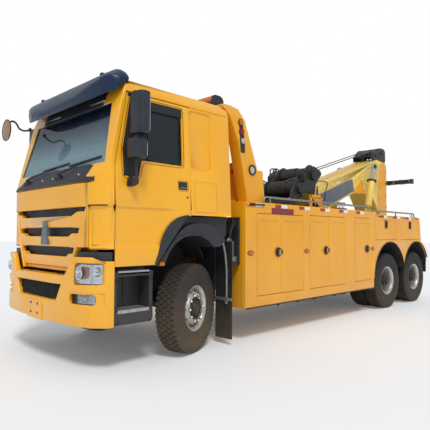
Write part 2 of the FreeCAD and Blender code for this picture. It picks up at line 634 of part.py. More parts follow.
def make_front_end():
    """Bumper, lamps, and the black steps and fenders."""
    def ring(inset):
        half = ((door_front + 60, cab_half + 13 - inset), (1275, cab_half - 5 - inset),
                (1392 - inset, 1080 - inset), (bumper_face - 42 - inset, 850), (bumper_face - inset, 400))
        return half + tuple((corner[0], -corner[1]) for corner in reversed(half))
    skirt = padded("bumper_outer", "XY", ring(0), (bumper_low, bumper_top), rounds=(((1, 2, 7, 8), 60),))
    hollow = padded("bumper_hollow", "XY", ring(75), (bumper_low - 5, bumper_top + 5))
    middle = padded("grille_drop", "YZ", whole(((860, bumper_top + 60), (655, 1030))), (1000, 1600))
    lamp_room = block("lamp_room", (1000, 1600), (840, 1400), (948, 1180))
    fog_room = block("fog_room", (1000, 1600), (770, 1400), (730, 857))
    intake = padded("intake", "YZ", whole(((600, 935), (500, 745))), (1000, 1600))
    rooms = [middle, lamp_room, mirrored("lamp_room_right", lamp_room), fog_room,
             mirrored("fog_room_right", fog_room), intake]
    plate_corners = ((-150, 580), (150, 580), (-150, 660), (150, 660))
    plate_holes = [rod(f"plate_hole_{number}", (bumper_face - 100, across, height), "X", plate_hole_radius,
                       150)
                   for number, (across, height) in enumerate(plate_corners)]
    shell = without("bumper_shell", skirt, hollow, *rooms, *plate_holes)
    bracket = block("bumper_bracket", (frame_front, bumper_face - 68), (rail_inside, rail_outside),
                    (rail_low - 120, rail_low + 40))
    node("bumper", fused("bumper_all", shell, *pair("bumper_bracket", bracket)))

    lens_ring = without("lens_ring", padded("lens_outer", "XY", ring(6), (600, bumper_top - 5),
                                            rounds=(((1, 2, 7, 8), 56),)),
                        padded("lens_hollow", "XY", ring(64), (590, bumper_top)))
    head = shared("head_lens", lens_ring, block("head_zone", (1000, 1600), (842, 1400), (950, 1178)))
    fog = shared("fog_lens", lens_ring, block("fog_zone", (1000, 1600), (772, 1400), (732, 855)))
    bar = block("light_bar", (-870, -610), (-850, 850), (hoop_top, hoop_top + 146))
    lamps = [*pair("head_lens", head), *pair("fog_lens", fog), bar]
    for number, (place, height) in enumerate(((body_front - 110, 1240), (locker_x(0.392) - 0.4, 1240),
                                              (locker_rear + 50, 1240))):
        lamps += pair(f"marker_{number}", rod(f"marker_{number}", (place, body_half, height), "Y", 28, 10))
    for number, (place, height) in enumerate(((-895, 3080), (-915, 2950), (-935, 2820))):
        lamps += pair(f"hoop_lamp_{number}",
                      rod(f"hoop_lamp_{number}", (place, hoop_half, height), "Y", 42, 34))
    tail_outline = ((tail_face(1560), 1560), (tail_face(1560) - 38, 1560), (tail_face(1400) - 38, 1400),
                    (tail_face(1400), 1400))
    lamps += pair("tail_lamp", padded("tail_lamp", "XZ", tail_outline, (820, 1180)))
    node("lamps", *lamps)

    centre_z = 1070
    inner, outer = 430, 560
    step_front = door_front + 3
    box = block("step_box", (648, step_front), (900, cab_half - 8), (bumper_low, door_low - 22))
    tread_room = block("tread_room", (700, step_front - 45), (985, 1400), (672, 1042))
    slot_room = block("upper_tread_room", (700, step_front - 45), (1040, 1400), (1090, 1300))
    fender = padded("fender_pad", "XZ", ((648, 905), (648, door_low - 22), (600, door_low - 22),
                                         (100, sill_z - 10), (cab_rear, sill_z - 10), (cab_rear, 1420),
                                         (-470, 1330), (-300, centre_z + 100), (450, centre_z + 100),
                                         (450, 905)), (880, cab_half - 14))
    arch = rod("fender_arch", (20, 700, centre_z - 60), "Y", inner + 40, 700)
    corner_cut = block("fender_corner", (-460, 449), (700, 1400), (900, centre_z + 90))
    fender_shell = without("fender_shell", fender, arch, corner_cut,
                           block("fender_inside", (-640, 640), (800, 1110), (900, sill_z - 60)))
    flap = block("mudflap", (-690, -675), (880, cab_half - 14), (80, 640))
    stay = rod("flap_stay", (-662, 1120, 600), "Z", 16, 860)
    foot = block("flap_foot", (-690, -645), (1090, 1150), (590, 640))
    side = fused("step_and_fender", without("step_shell", box, tread_room, slot_room), fender_shell,
                 flap, stay, foot)
    guard_low = rear_axle_x - 605
    guard = padded("rear_guard", "XZ", ((tail_face(1345), 1345), (tail_face(1345) - 16, 1345),
                                        (guard_low, 1035), (guard_low, 400), (guard_low + 14, 400),
                                        (guard_low + 14, 1028), (tail_face(1300), 1300)),
                   (body_inner + 40, body_half - 30))
    node("steps_and_fenders", *pair("step_and_fender", side), *pair("rear_guard", guard))
    node("engine", block("engine_block", (-700, 320), (-330, 330), (640, 1420)))


# --------------------------------------------------------------------------- locker bodies
locker_rear = mid_axle_x + arch_radius + 40
tail_x = rear_axle_x - 190
tail_lean = 200
locker_run = locker_rear - body_front
# name, front and rear edge as shares of the run of front lockers, bottom, top
LOCKER_DOORS = (
    ("locker_1_front", 0.068, 0.2145, 630, 1800),
    ("locker_1_rear", 0.2161, 0.366, 630, 1800),
    ("locker_2_front", 0.418, 0.5635, 630, 1810),
    ("locker_2_rear", 0.5651, 0.711, 630, 1810),
    ("locker_3", 0.803, 0.958, 645, 1820),
)
# share of the run where each locker begins and ends
LOCKER_ROOMS = ((0.012, 0.388), (0.396, 0.74), (0.748, 0.99))
# name, front and rear edge behind the first rear axle
LIDS = (("lid_front", 640, -350), ("lid_rear", -545, -1526))


def tail_face(height):
    """Where the sloping rear face of a body is, at a height."""
    slope = as_size(tail_lean) / (body_top_rear - arch_z)
    return tail_x - (body_top_rear - height) * slope


def locker_x(share):
    """A place along the run of front lockers."""
    return body_front + locker_run * share


def make_bodies():
    """Locker bodies with hollow rooms, arches, doors, lids and hand rails."""
    low_rear = arch_z
    outline = ((body_front, body_low + 15), (body_front, body_top), (mid_axle_x + 690, body_top),
               (mid_axle_x + 530, body_top_rear), (tail_x, body_top_rear), (tail_x - tail_lean, low_rear),
               (locker_rear, low_rear), (locker_rear, body_low))
    solid = padded("body_pad", "XZ", outline, (body_inner, body_half))
    arches = [rod(f"arch_cut_{number}", (place, body_inner - 20, arch_z), "Y", arch_radius,
                  body_half - body_inner + 40)
              for number, place in enumerate((mid_axle_x, rear_axle_x))]
    lower_cut = block("arch_low_cut", (tail_x - 400, mid_axle_x + arch_radius),
                      (body_inner - 20, body_half + 20), (body_low - 40, arch_z + 1))
    inner_wall = body_half - skin - 8
    rooms = [block(f"locker_room_{number}", (locker_x(rear), locker_x(front)),
                   (body_inner + 20, inner_wall), (body_low + 50, body_top - 30))
             for number, (front, rear) in enumerate(LOCKER_ROOMS)]
    rooms += [block(f"lid_room_{number}", (mid_axle_x + rear + 12, mid_axle_x + front - 12),
                    (body_inner + 20, inner_wall), (1400, body_top_rear - 30))
              for number, (name, front, rear) in enumerate(LIDS)]
    openings = []
    for name, front, rear, low, high in LOCKER_DOORS:
        openings.append(block(f"{name}_opening", (locker_x(rear) - gap, locker_x(front) + gap),
                              (inner_wall - 10, body_half + 20), (low - gap, high + gap)))
    for name, front, rear in LIDS:
        openings.append(block(f"{name}_opening", (mid_axle_x + rear - gap, mid_axle_x + front + gap),
                              (inner_wall - 10, body_half + 20), (1410 - gap, 1880 + gap)))
    shell = without("body_shell", solid, lower_cut, *arches, *rooms, *openings)
    pieces = [shell]
    rail_z = body_top + 90
    for number, (front, rear, foot_z, height) in enumerate(
            ((-1370, mid_axle_x + 880, body_top, rail_z),
             (mid_axle_x + 580, rear_axle_x + 30, body_top_rear, body_top_rear + 85))):
        pieces.append(rod(f"hand_rail_{number}", (rear, body_half - 45, height), "X", 17, front - rear))
        for foot, place in enumerate((as_size(front) - 130, (as_size(front) + rear) / 2,
                                      as_size(rear) + 130)):
            pieces.append(rod(f"rail_foot_{number}_{foot}", (place, body_half - 45, foot_z), "Z", 12,
                              as_size(height) - foot_z))
    both_sides("body", fused("body_all", *pieces))
    for name, front, rear, low, high in LOCKER_DOORS:
        both_sides(name, block(f"{name}_leaf", (locker_x(rear), locker_x(front)),
                               (body_half - skin, body_half), (low, high)))
    for name, front, rear in LIDS:
        both_sides(name, block(f"{name}_leaf", (mid_axle_x + rear, mid_axle_x + front),
                               (body_half - skin, body_half), (1410, 1880)))


def make_hoop():
    """The hoop behind the cab, with a low plate between its legs."""
    side = ((-1050, body_top), (-1050, 2000), (-870, 2785), (-630, 3270), (-660, 3330), (-740, hoop_top),
            (-860, hoop_top), (-930, 3300), (-1120, 2830), (-1280, 2440), (-1400, 2440), (-1450, body_top))
    outside = whole(((hoop_half, body_top - 1), (hoop_half, 3130), (hoop_half - 70, 3290),
                     (980, hoop_top + 1)))
    inside = whole(((950, body_top - 1), (950, 3020), (900, 3080), (840, 3105)))
    frame = shared("hoop_frame", padded("hoop_side", "XZ", side, (-hoop_half - 10, hoop_half + 10)),
                   padded("hoop_front", "YZ", outside + tuple(reversed(inside)), (-1500, -500)))
    plate = block("hoop_plate", (-1130, -1105), (-955, 955), (body_top, 2560))
    sill = block("hoop_sill", (-1130, -1060), (-955, 955), (body_top, body_top + 40))
    node("hoop", fused("hoop_all", frame, plate, sill))


boom_pin_x = boom_foot_x - 130
boom_pin_z = boom_foot_z + 100
lift_low_x = boom_foot_x - 1890
lift_low_z = deck_top + 150
lift_high_x = boom_foot_x - 2240
lift_high_z = boom_foot_z + 1040


def make_deck():
    """The deck plate with the brackets that hold the boom and its cylinders."""
    plate = block("deck_plate", (boom_knee_x + 80, body_front - 60), (-body_inner, body_inner),
                  (deck_top - 30, deck_top))
    front_wall = block("deck_front", (body_front - 90, body_front - 60), (-body_inner, body_inner),
                       (rail_top + 5, deck_top))
    pieces = [plate, front_wall]
    bored = []
    bracket_outline = ((boom_pin_x + 230, deck_top - 5), (boom_pin_x + 60, boom_pin_z + 75),
                       (boom_pin_x - 60, boom_pin_z + 75), (boom_pin_x - 160, deck_top - 5))
    eye_outline = ((lift_low_x + 120, deck_top - 5), (lift_low_x + 50, lift_low_z + 50),
                   (lift_low_x - 50, lift_low_z + 50), (lift_low_x - 120, deck_top - 5))
    for side, sign in (("left", 1), ("right", -1)):
        near = sorted((sign * (boom_half.value + 14), sign * (boom_half.value + 44)))
        bored.append(padded(f"boom_bracket_{side}", "XZ", bracket_outline, near))
        for wall, (low, high) in (("inner", (-55, -40)), ("outer", (40, 55))):
            across = sorted((sign * (lift_y.value + low), sign * (lift_y.value + high)))
            pieces.append(padded(f"lift_bracket_{wall}_{side}", "XZ", eye_outline, across))
        pieces.append(rod(f"lift_pin_{side}", (lift_low_x, sign * lift_y - 60, lift_low_z), "Y", 25, 120))
    holes = rod("boom_pin_hole", (boom_pin_x, -500, boom_pin_z), "Y", 40, 1000)
    brackets = [without(f"bored_bracket_{number}", bracket, holes) for number, bracket in enumerate(bored)]
    supports = [block(f"deck_beam_{number}", (place - 50, place + 50), (-rail_outside, rail_outside),
                      (rail_top, deck_top - 25)) for number, place in enumerate((-1700, -3400, boom_pin_x,
                                                                                 lift_low_x))]
    node("deck", fused("deck_all", *pieces, *brackets, *supports))


# name, centre, height, of the two winch drums
DRUMS = (("front", -3440, 2390), ("rear", -3890, 2690))


def make_winches():
    """A frame with two drums, and a roller that leads the ropes to the boom."""
    pieces = [block("winch_base", (-4000, -3080), (-400, 400), (deck_top, deck_top + 40))]
    side_outline = ((-3090, deck_top + 20), (-3170, 2300), (-3300, 2520), (-3480, 2570), (-3640, 2680),
                    (-3760, 2840), (-3960, 2870), (-4180, 2800), (-4225, 2740), (-4190, 2690), (-4100, 2610),
                    (-4010, 2500), (-3960, 2300), (-3980, deck_top + 20))
    hole_outline = ((-3330, 2010), (-3330, 2140), (-3560, 2330), (-3800, 2330), (-3800, 2010))
    for side, (low, high) in (("left", (345, 380)), ("right", (-380, -345))):
        pieces.append(padded(f"winch_side_{side}", "XZ", side_outline, (low, high), windows=(hole_outline,)))
    for name, place, height in DRUMS:
        pieces.append(rod(f"{name}_gearbox", (place, -560, height), "Y", 150, 182))
        pieces.append(rod(f"{name}_motor", (place, -700, height), "Y", 78, 142))
        pieces.append(rod(f"{name}_bearing", (place, 378, height), "Y", 110, 62))
    pieces.append(rod("guide_roller", (-4165, -350, 2742), "Y", 32, 700))
    node("winch_frame", fused("winch_frame_all", *pieces))
    for name, place, height in DRUMS:
        drum = turned(f"{name}_drum_turned", ((-330, 0), (-330, 205), (-312, 205), (-312, 130), (312, 130),
                                              (312, 205), (330, 205), (330, 0)))
        node(f"{name}_drum", moved(f"{name}_drum_placed", drum, place, 0, height))


# --------------------------------------------------------------------------- boom and underlift
boom_slope = (boom_knee_z - boom_foot_z - boom_deep) / (boom_foot_x - boom_knee_x)


def on_boom(x, below):
    """Height of a line that runs `below` the boom's top face."""
    return boom_foot_z + boom_deep + (boom_foot_x - x) * boom_slope - below


def make_boom():
    """The boom with its rear leg, the sliding head and the lift cylinders."""
    outline = ((boom_foot_x, boom_foot_z), (boom_foot_x, boom_foot_z + boom_deep),
               (boom_knee_x, boom_knee_z), (leg_rear_x + 60, boom_knee_z - 40),
               (leg_rear_x, boom_knee_z - 90), (leg_rear_x, leg_low_z), (leg_rear_x + 290, leg_low_z),
               (boom_knee_x, 2140), (boom_knee_x + 270, 2460), (boom_knee_x + 670, 2470),
               (boom_knee_x + 1210, 2440), (boom_foot_x - 500, boom_foot_z))
    solid = padded("boom_pad", "XZ", outline, (-boom_half, boom_half), rounds=(((0, 1), 50),))
    far = leg_rear_x - 200
    near = boom_foot_x - 180
    tunnel = padded("boom_tunnel", "XZ", ((near, on_boom(near, 60)), (far, on_boom(far, 60)),
                                          (far, on_boom(far, 350)), (near, on_boom(near, 350))),
                    (-boom_half + 55, boom_half - 55))
    arm_room = block("arm_room", (leg_rear_x - 50, leg_rear_x + 90), (-135, 135), (leg_low_z - 50, 1420))
    ears = [padded(f"arm_ear_{side}", "XZ",
                   ((leg_rear_x + 60, leg_low_z), (leg_rear_x + 60, 1330), (leg_rear_x - 60, 1250),
                    (arm_x - 65, 1190), (arm_x - 65, leg_low_z)),
                   sorted((sign * 135, sign * 175)), rounds=(((3, 4), 40),))
            for side, sign in (("left", 1), ("right", -1))]
    pins = [rod("boom_pin", (boom_pin_x, -boom_half - 60, boom_pin_z), "Y", 35, boom_half * 2 + 120),
            rod("arm_pin", (arm_x, -185, leg_low_z + 50), "Y", 30, 370),
            rod("lift_top_left", (lift_high_x, boom_half - 20, lift_high_z), "Y", 28,
                lift_y - boom_half + 60),
            rod("lift_top_right", (lift_high_x, -lift_y - 40, lift_high_z), "Y", 28,
                lift_y - boom_half + 60)]
    hollow = without("boom_hollow", solid, tunnel, arm_room)
    node("boom", fused("boom_all", hollow, *ears, *pins))

    start = near - 60
    tip = leg_rear_x - 30
    cheek_rear = leg_rear_x - 42
    inner = padded("inner_boom", "XZ", ((start, on_boom(start, 72)), (tip, on_boom(tip, 72)),
                                        (tip, on_boom(tip, 338)), (start, on_boom(start, 338))),
                   (-boom_half + 67, boom_half - 67))
    cheek_front = leg_rear_x + 1000
    cheek = ((cheek_front, on_boom(cheek_front, -22)), (cheek_front + 20, on_boom(cheek_front, -150)),
             (cheek_front - 120, on_boom(cheek_front, -230)),
             (leg_rear_x + 60, on_boom(leg_rear_x + 60, -190)),
             (cheek_rear, on_boom(leg_rear_x, -150)), (cheek_rear, on_boom(leg_rear_x, 250)),
             (leg_rear_x - 12, on_boom(leg_rear_x, 250)), (leg_rear_x - 12, on_boom(leg_rear_x, -22)))
    cheeks = [padded(f"head_cheek_{number}", "XZ", cheek, (low, low + 20))
              for number, low in enumerate((-250, -10, 230))]
    sheaves = [rod(f"sheave_{number}", (leg_rear_x + 180, low, on_boom(leg_rear_x + 180, -100)), "Y", 72, 222)
               for number, low in enumerate((-231, 9))]
    bridge = block("head_bridge", (leg_rear_x - 32, leg_rear_x - 18), (-250, 250),
                   (on_boom(leg_rear_x, 240), on_boom(leg_rear_x, 60)))
    tie = rod("head_tie", (cheek_front - 120, -250, on_boom(cheek_front - 120, -120)), "Y", 34, 500)
    node("boom_head", fused("head_all", inner, bridge, tie, *cheeks, *sheaves))

    slant = math.hypot((lift_high_x - lift_low_x).value, (lift_high_z - lift_low_z).value)
    part_way = 760 / slant
    barrels = []
    rods = []
    for side, sign in (("left", 1), ("right", -1)):
        across = sign * lift_y
        low = (lift_low_x, across, lift_low_z)
        high = (lift_high_x, across, lift_high_z)
        knee = tuple(as_size(a) + (as_size(b) - a) * part_way for a, b in zip(low, high))
        collar = tuple(as_size(a) + (as_size(b) - a) * (118 / slant) for a, b in zip(low, high))
        first = tuple(as_size(a) + (as_size(b) - a) * (136 / slant) for a, b in zip(low, high))
        last = tuple(as_size(b) + (as_size(a) - b) * (52 / slant) for a, b in zip(low, high))
        eye = rod(f"barrel_eye_{side}", (low[0], across - 32, low[2]), "Y", 62, 64)
        barrel = fused(f"barrel_{side}", slant_rod(f"barrel_tube_{side}", collar, knee, 78), eye,
                       slant_rod(f"barrel_neck_{side}", low, first, 31))
        barrels.append(without(f"barrel_bored_{side}", barrel,
                               slant_rod(f"barrel_room_{side}", first, high, 56),
                               rod(f"barrel_pin_hole_{side}", (low[0], across - 80, low[2]), "Y", 30, 160)))
        second = tuple(as_size(a) + (as_size(b) - a) * (148 / slant) for a, b in zip(low, high))
        top_eye = rod(f"rod_eye_{side}", (high[0], across - 30, high[2]), "Y", 72, 60)
        steel = fused(f"rod_solid_{side}", slant_rod(f"rod_bar_{side}", second, last, 46), top_eye)
        rods.append(without(f"rod_bored_{side}", steel,
                            rod(f"rod_hole_{side}", (high[0], across - 80, high[2]), "Y", 50, 160)))
    node("lift_barrels", *barrels)
    node("lift_rods", *rods)


def make_underlift():
    """The folded arm behind the leg, its sliding stinger and the crossbar."""
    pin_z = leg_low_z + 50
    tube = without("arm_tube", block("arm_outer", (arm_x - 110, arm_x + 110), (-110, 110),
                                     (arm_low_z, arm_top_z)),
                   block("arm_hollow", (arm_x - 95, arm_x + 95), (-95, 95), (pin_z + 90, arm_top_z + 10)),
                   rod("arm_pin_hole", (arm_x, -200, pin_z), "Y", 35, 400))
    node("underlift_arm", tube)
    stinger = [block("stinger_bar", (arm_x - 85, arm_x + 85), (-85, 85), (pin_z + 130, arm_top_z + 50))]
    for number, low in enumerate((-76, 56)):
        stinger.append(block(f"fork_{number}", (arm_x + low, arm_x + low + 20), (-55, 55),
                             (arm_top_z, bar_z + 60)))
    stinger.append(rod("swivel_pin", (arm_x - 84, 0, bar_z), "X", 22, 168))
    node("stinger", fused("stinger_all", *stinger))
    bar = block("bar_tube", (arm_x - 48, arm_x + 48), (-bar_half, bar_half), (bar_z - 50, bar_z + 50))
    holes = [rod("swivel_hole", (arm_x - 90, 0, bar_z), "X", 27, 180)]
    holes += [rod(f"fork_pin_hole_{side}", (arm_x - 90, sign * (bar_half - 60), bar_z), "X",
                  fork_pin_radius, 180)
              for side, sign in (("left", 1), ("right", -1))]
    node("crossbar", without("bar_bored", bar, *holes))


make_chassis()
make_axles()
make_front_wheels()
make_rear_wheels()
make_cab()
make_cab_fittings()
make_front_end()
make_bodies()
make_hoop()
make_deck()
make_winches()
make_boom()
make_underlift()

# --------------------------------------------------------------------------- check and write
doc.recompute()
failed = [thing.Name for thing in doc.Objects
          if "Invalid" in thing.State or "Error" in thing.State]
if failed:
    raise RuntimeError(f"not computed: {failed}")
os.makedirs("parts", exist_ok=True)
whole_box = FreeCAD.BoundBox()
for part in NODES:
    if part.Shape.isNull() or not part.Shape.isValid() or not part.Shape.Solids:
        raise RuntimeError(f"no sound shape: {part.Label}")
    part.Shape.exportStep(f"parts/{part.Label}.step")
    whole_box.add(part.Shape.BoundBox)
    print(f"{part.Label:22} solids {len(part.Shape.Solids):2}  litres {part.Shape.Volume / 1e6:9.2f}")
print(len(NODES), "sub-parts", whole_box)
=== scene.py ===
# %% [markdown]
# # A heavy recovery truck
# The truck's true shapes and joints come from a CAD model that is already packed. This lesson
# loads that model as a fixed frame and builds the visible surfaces around it: rounded panels,
# treads, lamps, ropes and paint. Every length is in metres. X runs forward, Y to the truck's
# left and Z up from the ground.

# %% Load the frame
import json
import math

import bmesh
import bpy
from mathutils import Matrix, Vector

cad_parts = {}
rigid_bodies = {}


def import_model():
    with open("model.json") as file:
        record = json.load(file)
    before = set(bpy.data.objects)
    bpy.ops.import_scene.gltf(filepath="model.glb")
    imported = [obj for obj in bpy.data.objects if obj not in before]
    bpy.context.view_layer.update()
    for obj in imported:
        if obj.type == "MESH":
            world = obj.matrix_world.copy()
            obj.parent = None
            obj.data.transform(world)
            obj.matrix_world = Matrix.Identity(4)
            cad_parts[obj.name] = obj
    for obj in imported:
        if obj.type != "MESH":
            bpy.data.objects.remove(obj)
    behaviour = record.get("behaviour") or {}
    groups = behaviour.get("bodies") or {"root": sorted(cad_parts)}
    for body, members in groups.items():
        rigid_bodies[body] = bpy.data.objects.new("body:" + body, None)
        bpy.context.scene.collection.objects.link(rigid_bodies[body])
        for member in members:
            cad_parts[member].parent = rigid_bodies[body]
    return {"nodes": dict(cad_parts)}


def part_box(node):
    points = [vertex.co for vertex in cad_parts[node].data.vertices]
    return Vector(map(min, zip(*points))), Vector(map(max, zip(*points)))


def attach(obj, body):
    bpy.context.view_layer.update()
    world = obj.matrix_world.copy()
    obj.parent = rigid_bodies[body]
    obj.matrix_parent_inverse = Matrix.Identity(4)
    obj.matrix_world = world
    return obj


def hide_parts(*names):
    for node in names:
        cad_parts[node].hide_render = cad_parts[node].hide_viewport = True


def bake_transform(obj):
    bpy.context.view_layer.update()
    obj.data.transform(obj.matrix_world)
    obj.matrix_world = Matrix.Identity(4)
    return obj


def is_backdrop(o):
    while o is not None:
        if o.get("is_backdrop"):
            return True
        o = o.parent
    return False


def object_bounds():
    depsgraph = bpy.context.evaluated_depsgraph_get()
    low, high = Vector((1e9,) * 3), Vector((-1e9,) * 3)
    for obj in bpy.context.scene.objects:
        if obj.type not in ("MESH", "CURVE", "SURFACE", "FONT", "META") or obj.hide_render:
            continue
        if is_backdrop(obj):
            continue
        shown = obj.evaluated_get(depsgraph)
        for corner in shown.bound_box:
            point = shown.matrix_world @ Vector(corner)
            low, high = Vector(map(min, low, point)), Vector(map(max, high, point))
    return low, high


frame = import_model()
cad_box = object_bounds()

print(len(frame["nodes"]), "CAD nodes loaded")

# %% [markdown]
# ## Where things are
# A truck is measured from its front axle, so every shape here is drawn with x counted from that
# axle and shifted into the frame at the end. The axle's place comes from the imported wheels.

# %% The front axle
WHEELBASE = 5.43
AXLE_GAP = 1.35
low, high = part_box("mid_tyres_left")
AXLE_X = (low.x + high.x) / 2 + WHEELBASE
TYRE_RADIUS = (high.z - low.z) / 2
SIDES = (("left", 1), ("right", -1))
print(f"front axle at x {AXLE_X:.4f}, tyre radius {TYRE_RADIUS:.4f}")

# %% [markdown]
# ## Camera
# The camera stands near the left front corner, at chest height, and looks very slightly up. Its
# three axes are worked out from the direction it looks in, and a small roll is added.

# %% Camera
CAMERA_PLACE = Vector((AXLE_X + 3.898, 5.479, 1.493))
HEADING, PITCH, ROLL = 3.93056, 0.043, 0.00446
forward = Vector((math.cos(PITCH) * math.cos(HEADING), math.cos(PITCH) * math.sin(HEADING), math.sin(PITCH)))
level = forward.cross(Vector((0, 0, 1))).normalized()
raised = level.cross(forward)
right = level * math.cos(ROLL) + raised * math.sin(ROLL)
up = raised * math.cos(ROLL) - level * math.sin(ROLL)
camera_data = bpy.data.cameras.new("camera")
camera_data.lens = 38.58
camera_data.clip_end = 200
camera = bpy.data.objects.new("camera", camera_data)
camera.matrix_world = Matrix.Translation(CAMERA_PLACE) @ Matrix((right, up, -forward)).transposed().to_4x4()
bpy.context.scene.collection.objects.link(camera)
bpy.context.scene.camera = camera
bpy.context.scene.view_settings.view_transform = "Standard"
print("camera placed")

# %% [markdown]
# ## Helpers for nodes
# A material is a small graph of nodes. One function adds a node, sets its settings and fills
# its inputs, either with plain values or with another node's output. A few more stand for the
# patterns that most finishes share.

# %% Colours and nodes
def linear(code):
    """The linear colour of an sRGB hex value."""
    parts = [int(code[place:place + 2], 16) / 255 for place in (1, 3, 5)]
    return [part / 12.92 if part <= 0.04045 else ((part + 0.055) / 1.055) ** 2.4 for part in parts] + [1.0]


def fill(node, inputs):
    """Set a node's inputs, from plain values or from the outputs of other nodes."""
    for socket, value in inputs.items():
        if isinstance(value, bpy.types.NodeSocket):
            node.id_data.links.new(value, node.inputs[socket])
        else:
            node.inputs[socket].default_value = value


def add(owner, kind, inputs=None, **settings):
    """Add one node to a material or a world, with its settings and inputs."""
    node = owner.node_tree.nodes.new(kind)
    for word, value in settings.items():
        setattr(node, word, value)
    fill(node, inputs or {})
    return node


def blank(name):
    """A material with nothing in it but its output and its shader."""
    material = bpy.data.materials.new(name)
    material.use_nodes = True
    return material, material.node_tree.nodes["Principled BSDF"]


print("node helpers ready")

# %% Shared patterns
COLOR_A, COLOR_B, COLOR_OUT = 6, 7, 2


def per_metre(millimetres):
    """The scale of a texture whose grain has this size."""
    return 1000 / millimetres


def own_place(material):
    """The place of a point on its own object, in metres."""
    return add(material, "ShaderNodeTexCoord").outputs["Object"]


def height_of(material, place):
    """The height of a place."""
    return add(material, "ShaderNodeSeparateXYZ", {"Vector": place}).outputs["Z"]


def noise(material, place, grain, detail, **more):
    """The level of a cloudy texture; `grain` is in mm."""
    inputs = {"Vector": place, "Scale": per_metre(grain), "Detail": detail, **more}
    return add(material, "ShaderNodeTexNoise", inputs).outputs["Fac"]


def waves(material, place, spacing, axis, **more):
    """The level of even bands, `spacing` mm apart. The texture itself counts in turns of 6.283."""
    inputs = {"Vector": place, "Scale": per_metre(spacing) / 6.283, **more}
    return add(material, "ShaderNodeTexWave", inputs, bands_direction=axis).outputs["Fac"]


def ramp(material, value, low, high, first=0.0, last=1.0):
    """One range of values laid over another, and held at its ends."""
    inputs = {"Value": value, "From Min": low, "From Max": high, "To Min": first, "To Max": last}
    return add(material, "ShaderNodeMapRange", inputs).outputs[0]


def mixed(material, share, first, second):
    """A colour that goes from the first to the second as the share rises."""
    inputs = {0: share, COLOR_A: first, COLOR_B: second}
    return add(material, "ShaderNodeMix", inputs, data_type="RGBA").outputs[COLOR_OUT]


def product(material, one, other):
    """Two levels multiplied."""
    return add(material, "ShaderNodeMath", {0: one, 1: other}, operation="MULTIPLY").outputs[0]


def bumps(material, level, height, strength=1.0):
    """A surface that rises with a level; `height` is in mm."""
    inputs = {"Height": level, "Distance": height / 1000, "Strength": strength}
    return add(material, "ShaderNodeBump", inputs).outputs[0]


print("patterns ready")

# %% [markdown]
# ## Finishes built in layers
# Paint, plastic, rubber and bare metal all have the same few layers: a colour that drifts a
# little in large patches, dust that gathers low down, a roughness that isn't even, and a fine
# grain that breaks up the highlights. One recipe makes them all, with the sizes in millimetres.

# %% The layered recipe
DUST = linear("#A08A6A")


def finish(name, colour, second, patch, rough, grain, relief, dust=0.0, dust_top=1.0, metallic=0.0, coat=0.0,
        wear=None):
    """A layered material. `patch` and `grain` are sizes in mm, and `relief` is the grain's height in mm."""
    material, shader = blank(name)
    place = own_place(material)
    patches = noise(material, place, patch, 5.0)
    shown = mixed(material, ramp(material, patches, 0.35, 0.65), linear(colour), linear(second))
    uneven = ramp(material, patches, 0.3, 0.7, *rough)
    if dust:
        fall = ramp(material, height_of(material, place), 0.0, dust_top, dust, 0.0)
        share = product(material, fall, noise(material, place, 90, 8.0, Roughness=0.7))
        shown = mixed(material, share, shown, DUST)
        uneven = add(material, "ShaderNodeMath", {0: uneven, 1: share}, operation="ADD", use_clamp=True).outputs[0]
    if wear:
        corner = add(material, "ShaderNodeNewGeometry").outputs["Pointiness"]
        worn = product(material, ramp(material, corner, 0.52, 0.6), noise(material, place, 35, 6.0))
        shown = mixed(material, worn, shown, linear(wear))
    skin = bumps(material, noise(material, place, grain, 3.0), relief)
    fill(shader, {"Base Color": shown, "Roughness": uneven, "Normal": skin, "Metallic": metallic,
        "Coat Weight": coat, "Coat Roughness": 0.08})
    return material


print("layered recipe ready")

# %% Paints, plastics, rubbers and metals
# Two-pack enamel sprayed on pressed steel: deep yellow with a clear glossy skin and faint orange peel.
CAB_ENAMEL = finish("cab_enamel", "#F7B21C", "#F2AA15", 700, (0.28, 0.4), 6, 0.02, dust=0.25, dust_top=1.1, coat=0.5)
# The same enamel on folded locker sheet, a shade deeper and a little duller.
LOCKER_ENAMEL = finish("locker_enamel", "#ECA614", "#E79F0F", 500, (0.32, 0.46), 5, 0.03, dust=0.35, dust_top=1.2,
    coat=0.35)
# A paler yellow enamel brushed on the boom's welded plates.
BOOM_ENAMEL = finish("boom_enamel", "#F6D768", "#F1CC55", 400, (0.34, 0.5), 8, 0.05, coat=0.3, wear="#8C7A55")
# Orange-yellow enamel on heavy plate behind the cab and at the boom foot.
PLATE_ENAMEL = finish("plate_enamel", "#EDA71B", "#E69E14", 450, (0.34, 0.48), 7, 0.04, coat=0.3)
# Chassis paint: satin black over scale, greyed by road film.
CHASSIS_BLACK = finish("chassis_paint", "#1E1F20", "#2A2A29", 180, (0.45, 0.7), 9, 0.12, dust=0.5, dust_top=1.0)
# Moulded polypropylene of bumpers' inner parts, steps and fenders: dark grey with a leathery grain.
BLACK_PLASTIC = finish("moulded_plastic", "#222429", "#2C2E33", 260, (0.42, 0.58), 2.5, 0.12, dust=0.3, dust_top=1.1)
# Smooth gloss plastic of the mirrors.
MIRROR_PLASTIC = finish("mirror_plastic", "#24272E", "#2B2F37", 200, (0.3, 0.4), 3, 0.05)
# Extruded rubber: seals, hoses, mud flaps.
RUBBER = finish("black_rubber", "#17181A", "#1F2022", 120, (0.6, 0.8), 4, 0.1, dust=0.4, dust_top=0.8)
# Tinted acrylic of the sun visor, slate blue and glossy.
VISOR_ACRYLIC = finish("visor_acrylic", "#202B3F", "#273246", 600, (0.24, 0.34), 10, 0.01)
fill(VISOR_ACRYLIC.node_tree.nodes["Principled BSDF"], {"Specular Tint": linear("#9AAED4")})
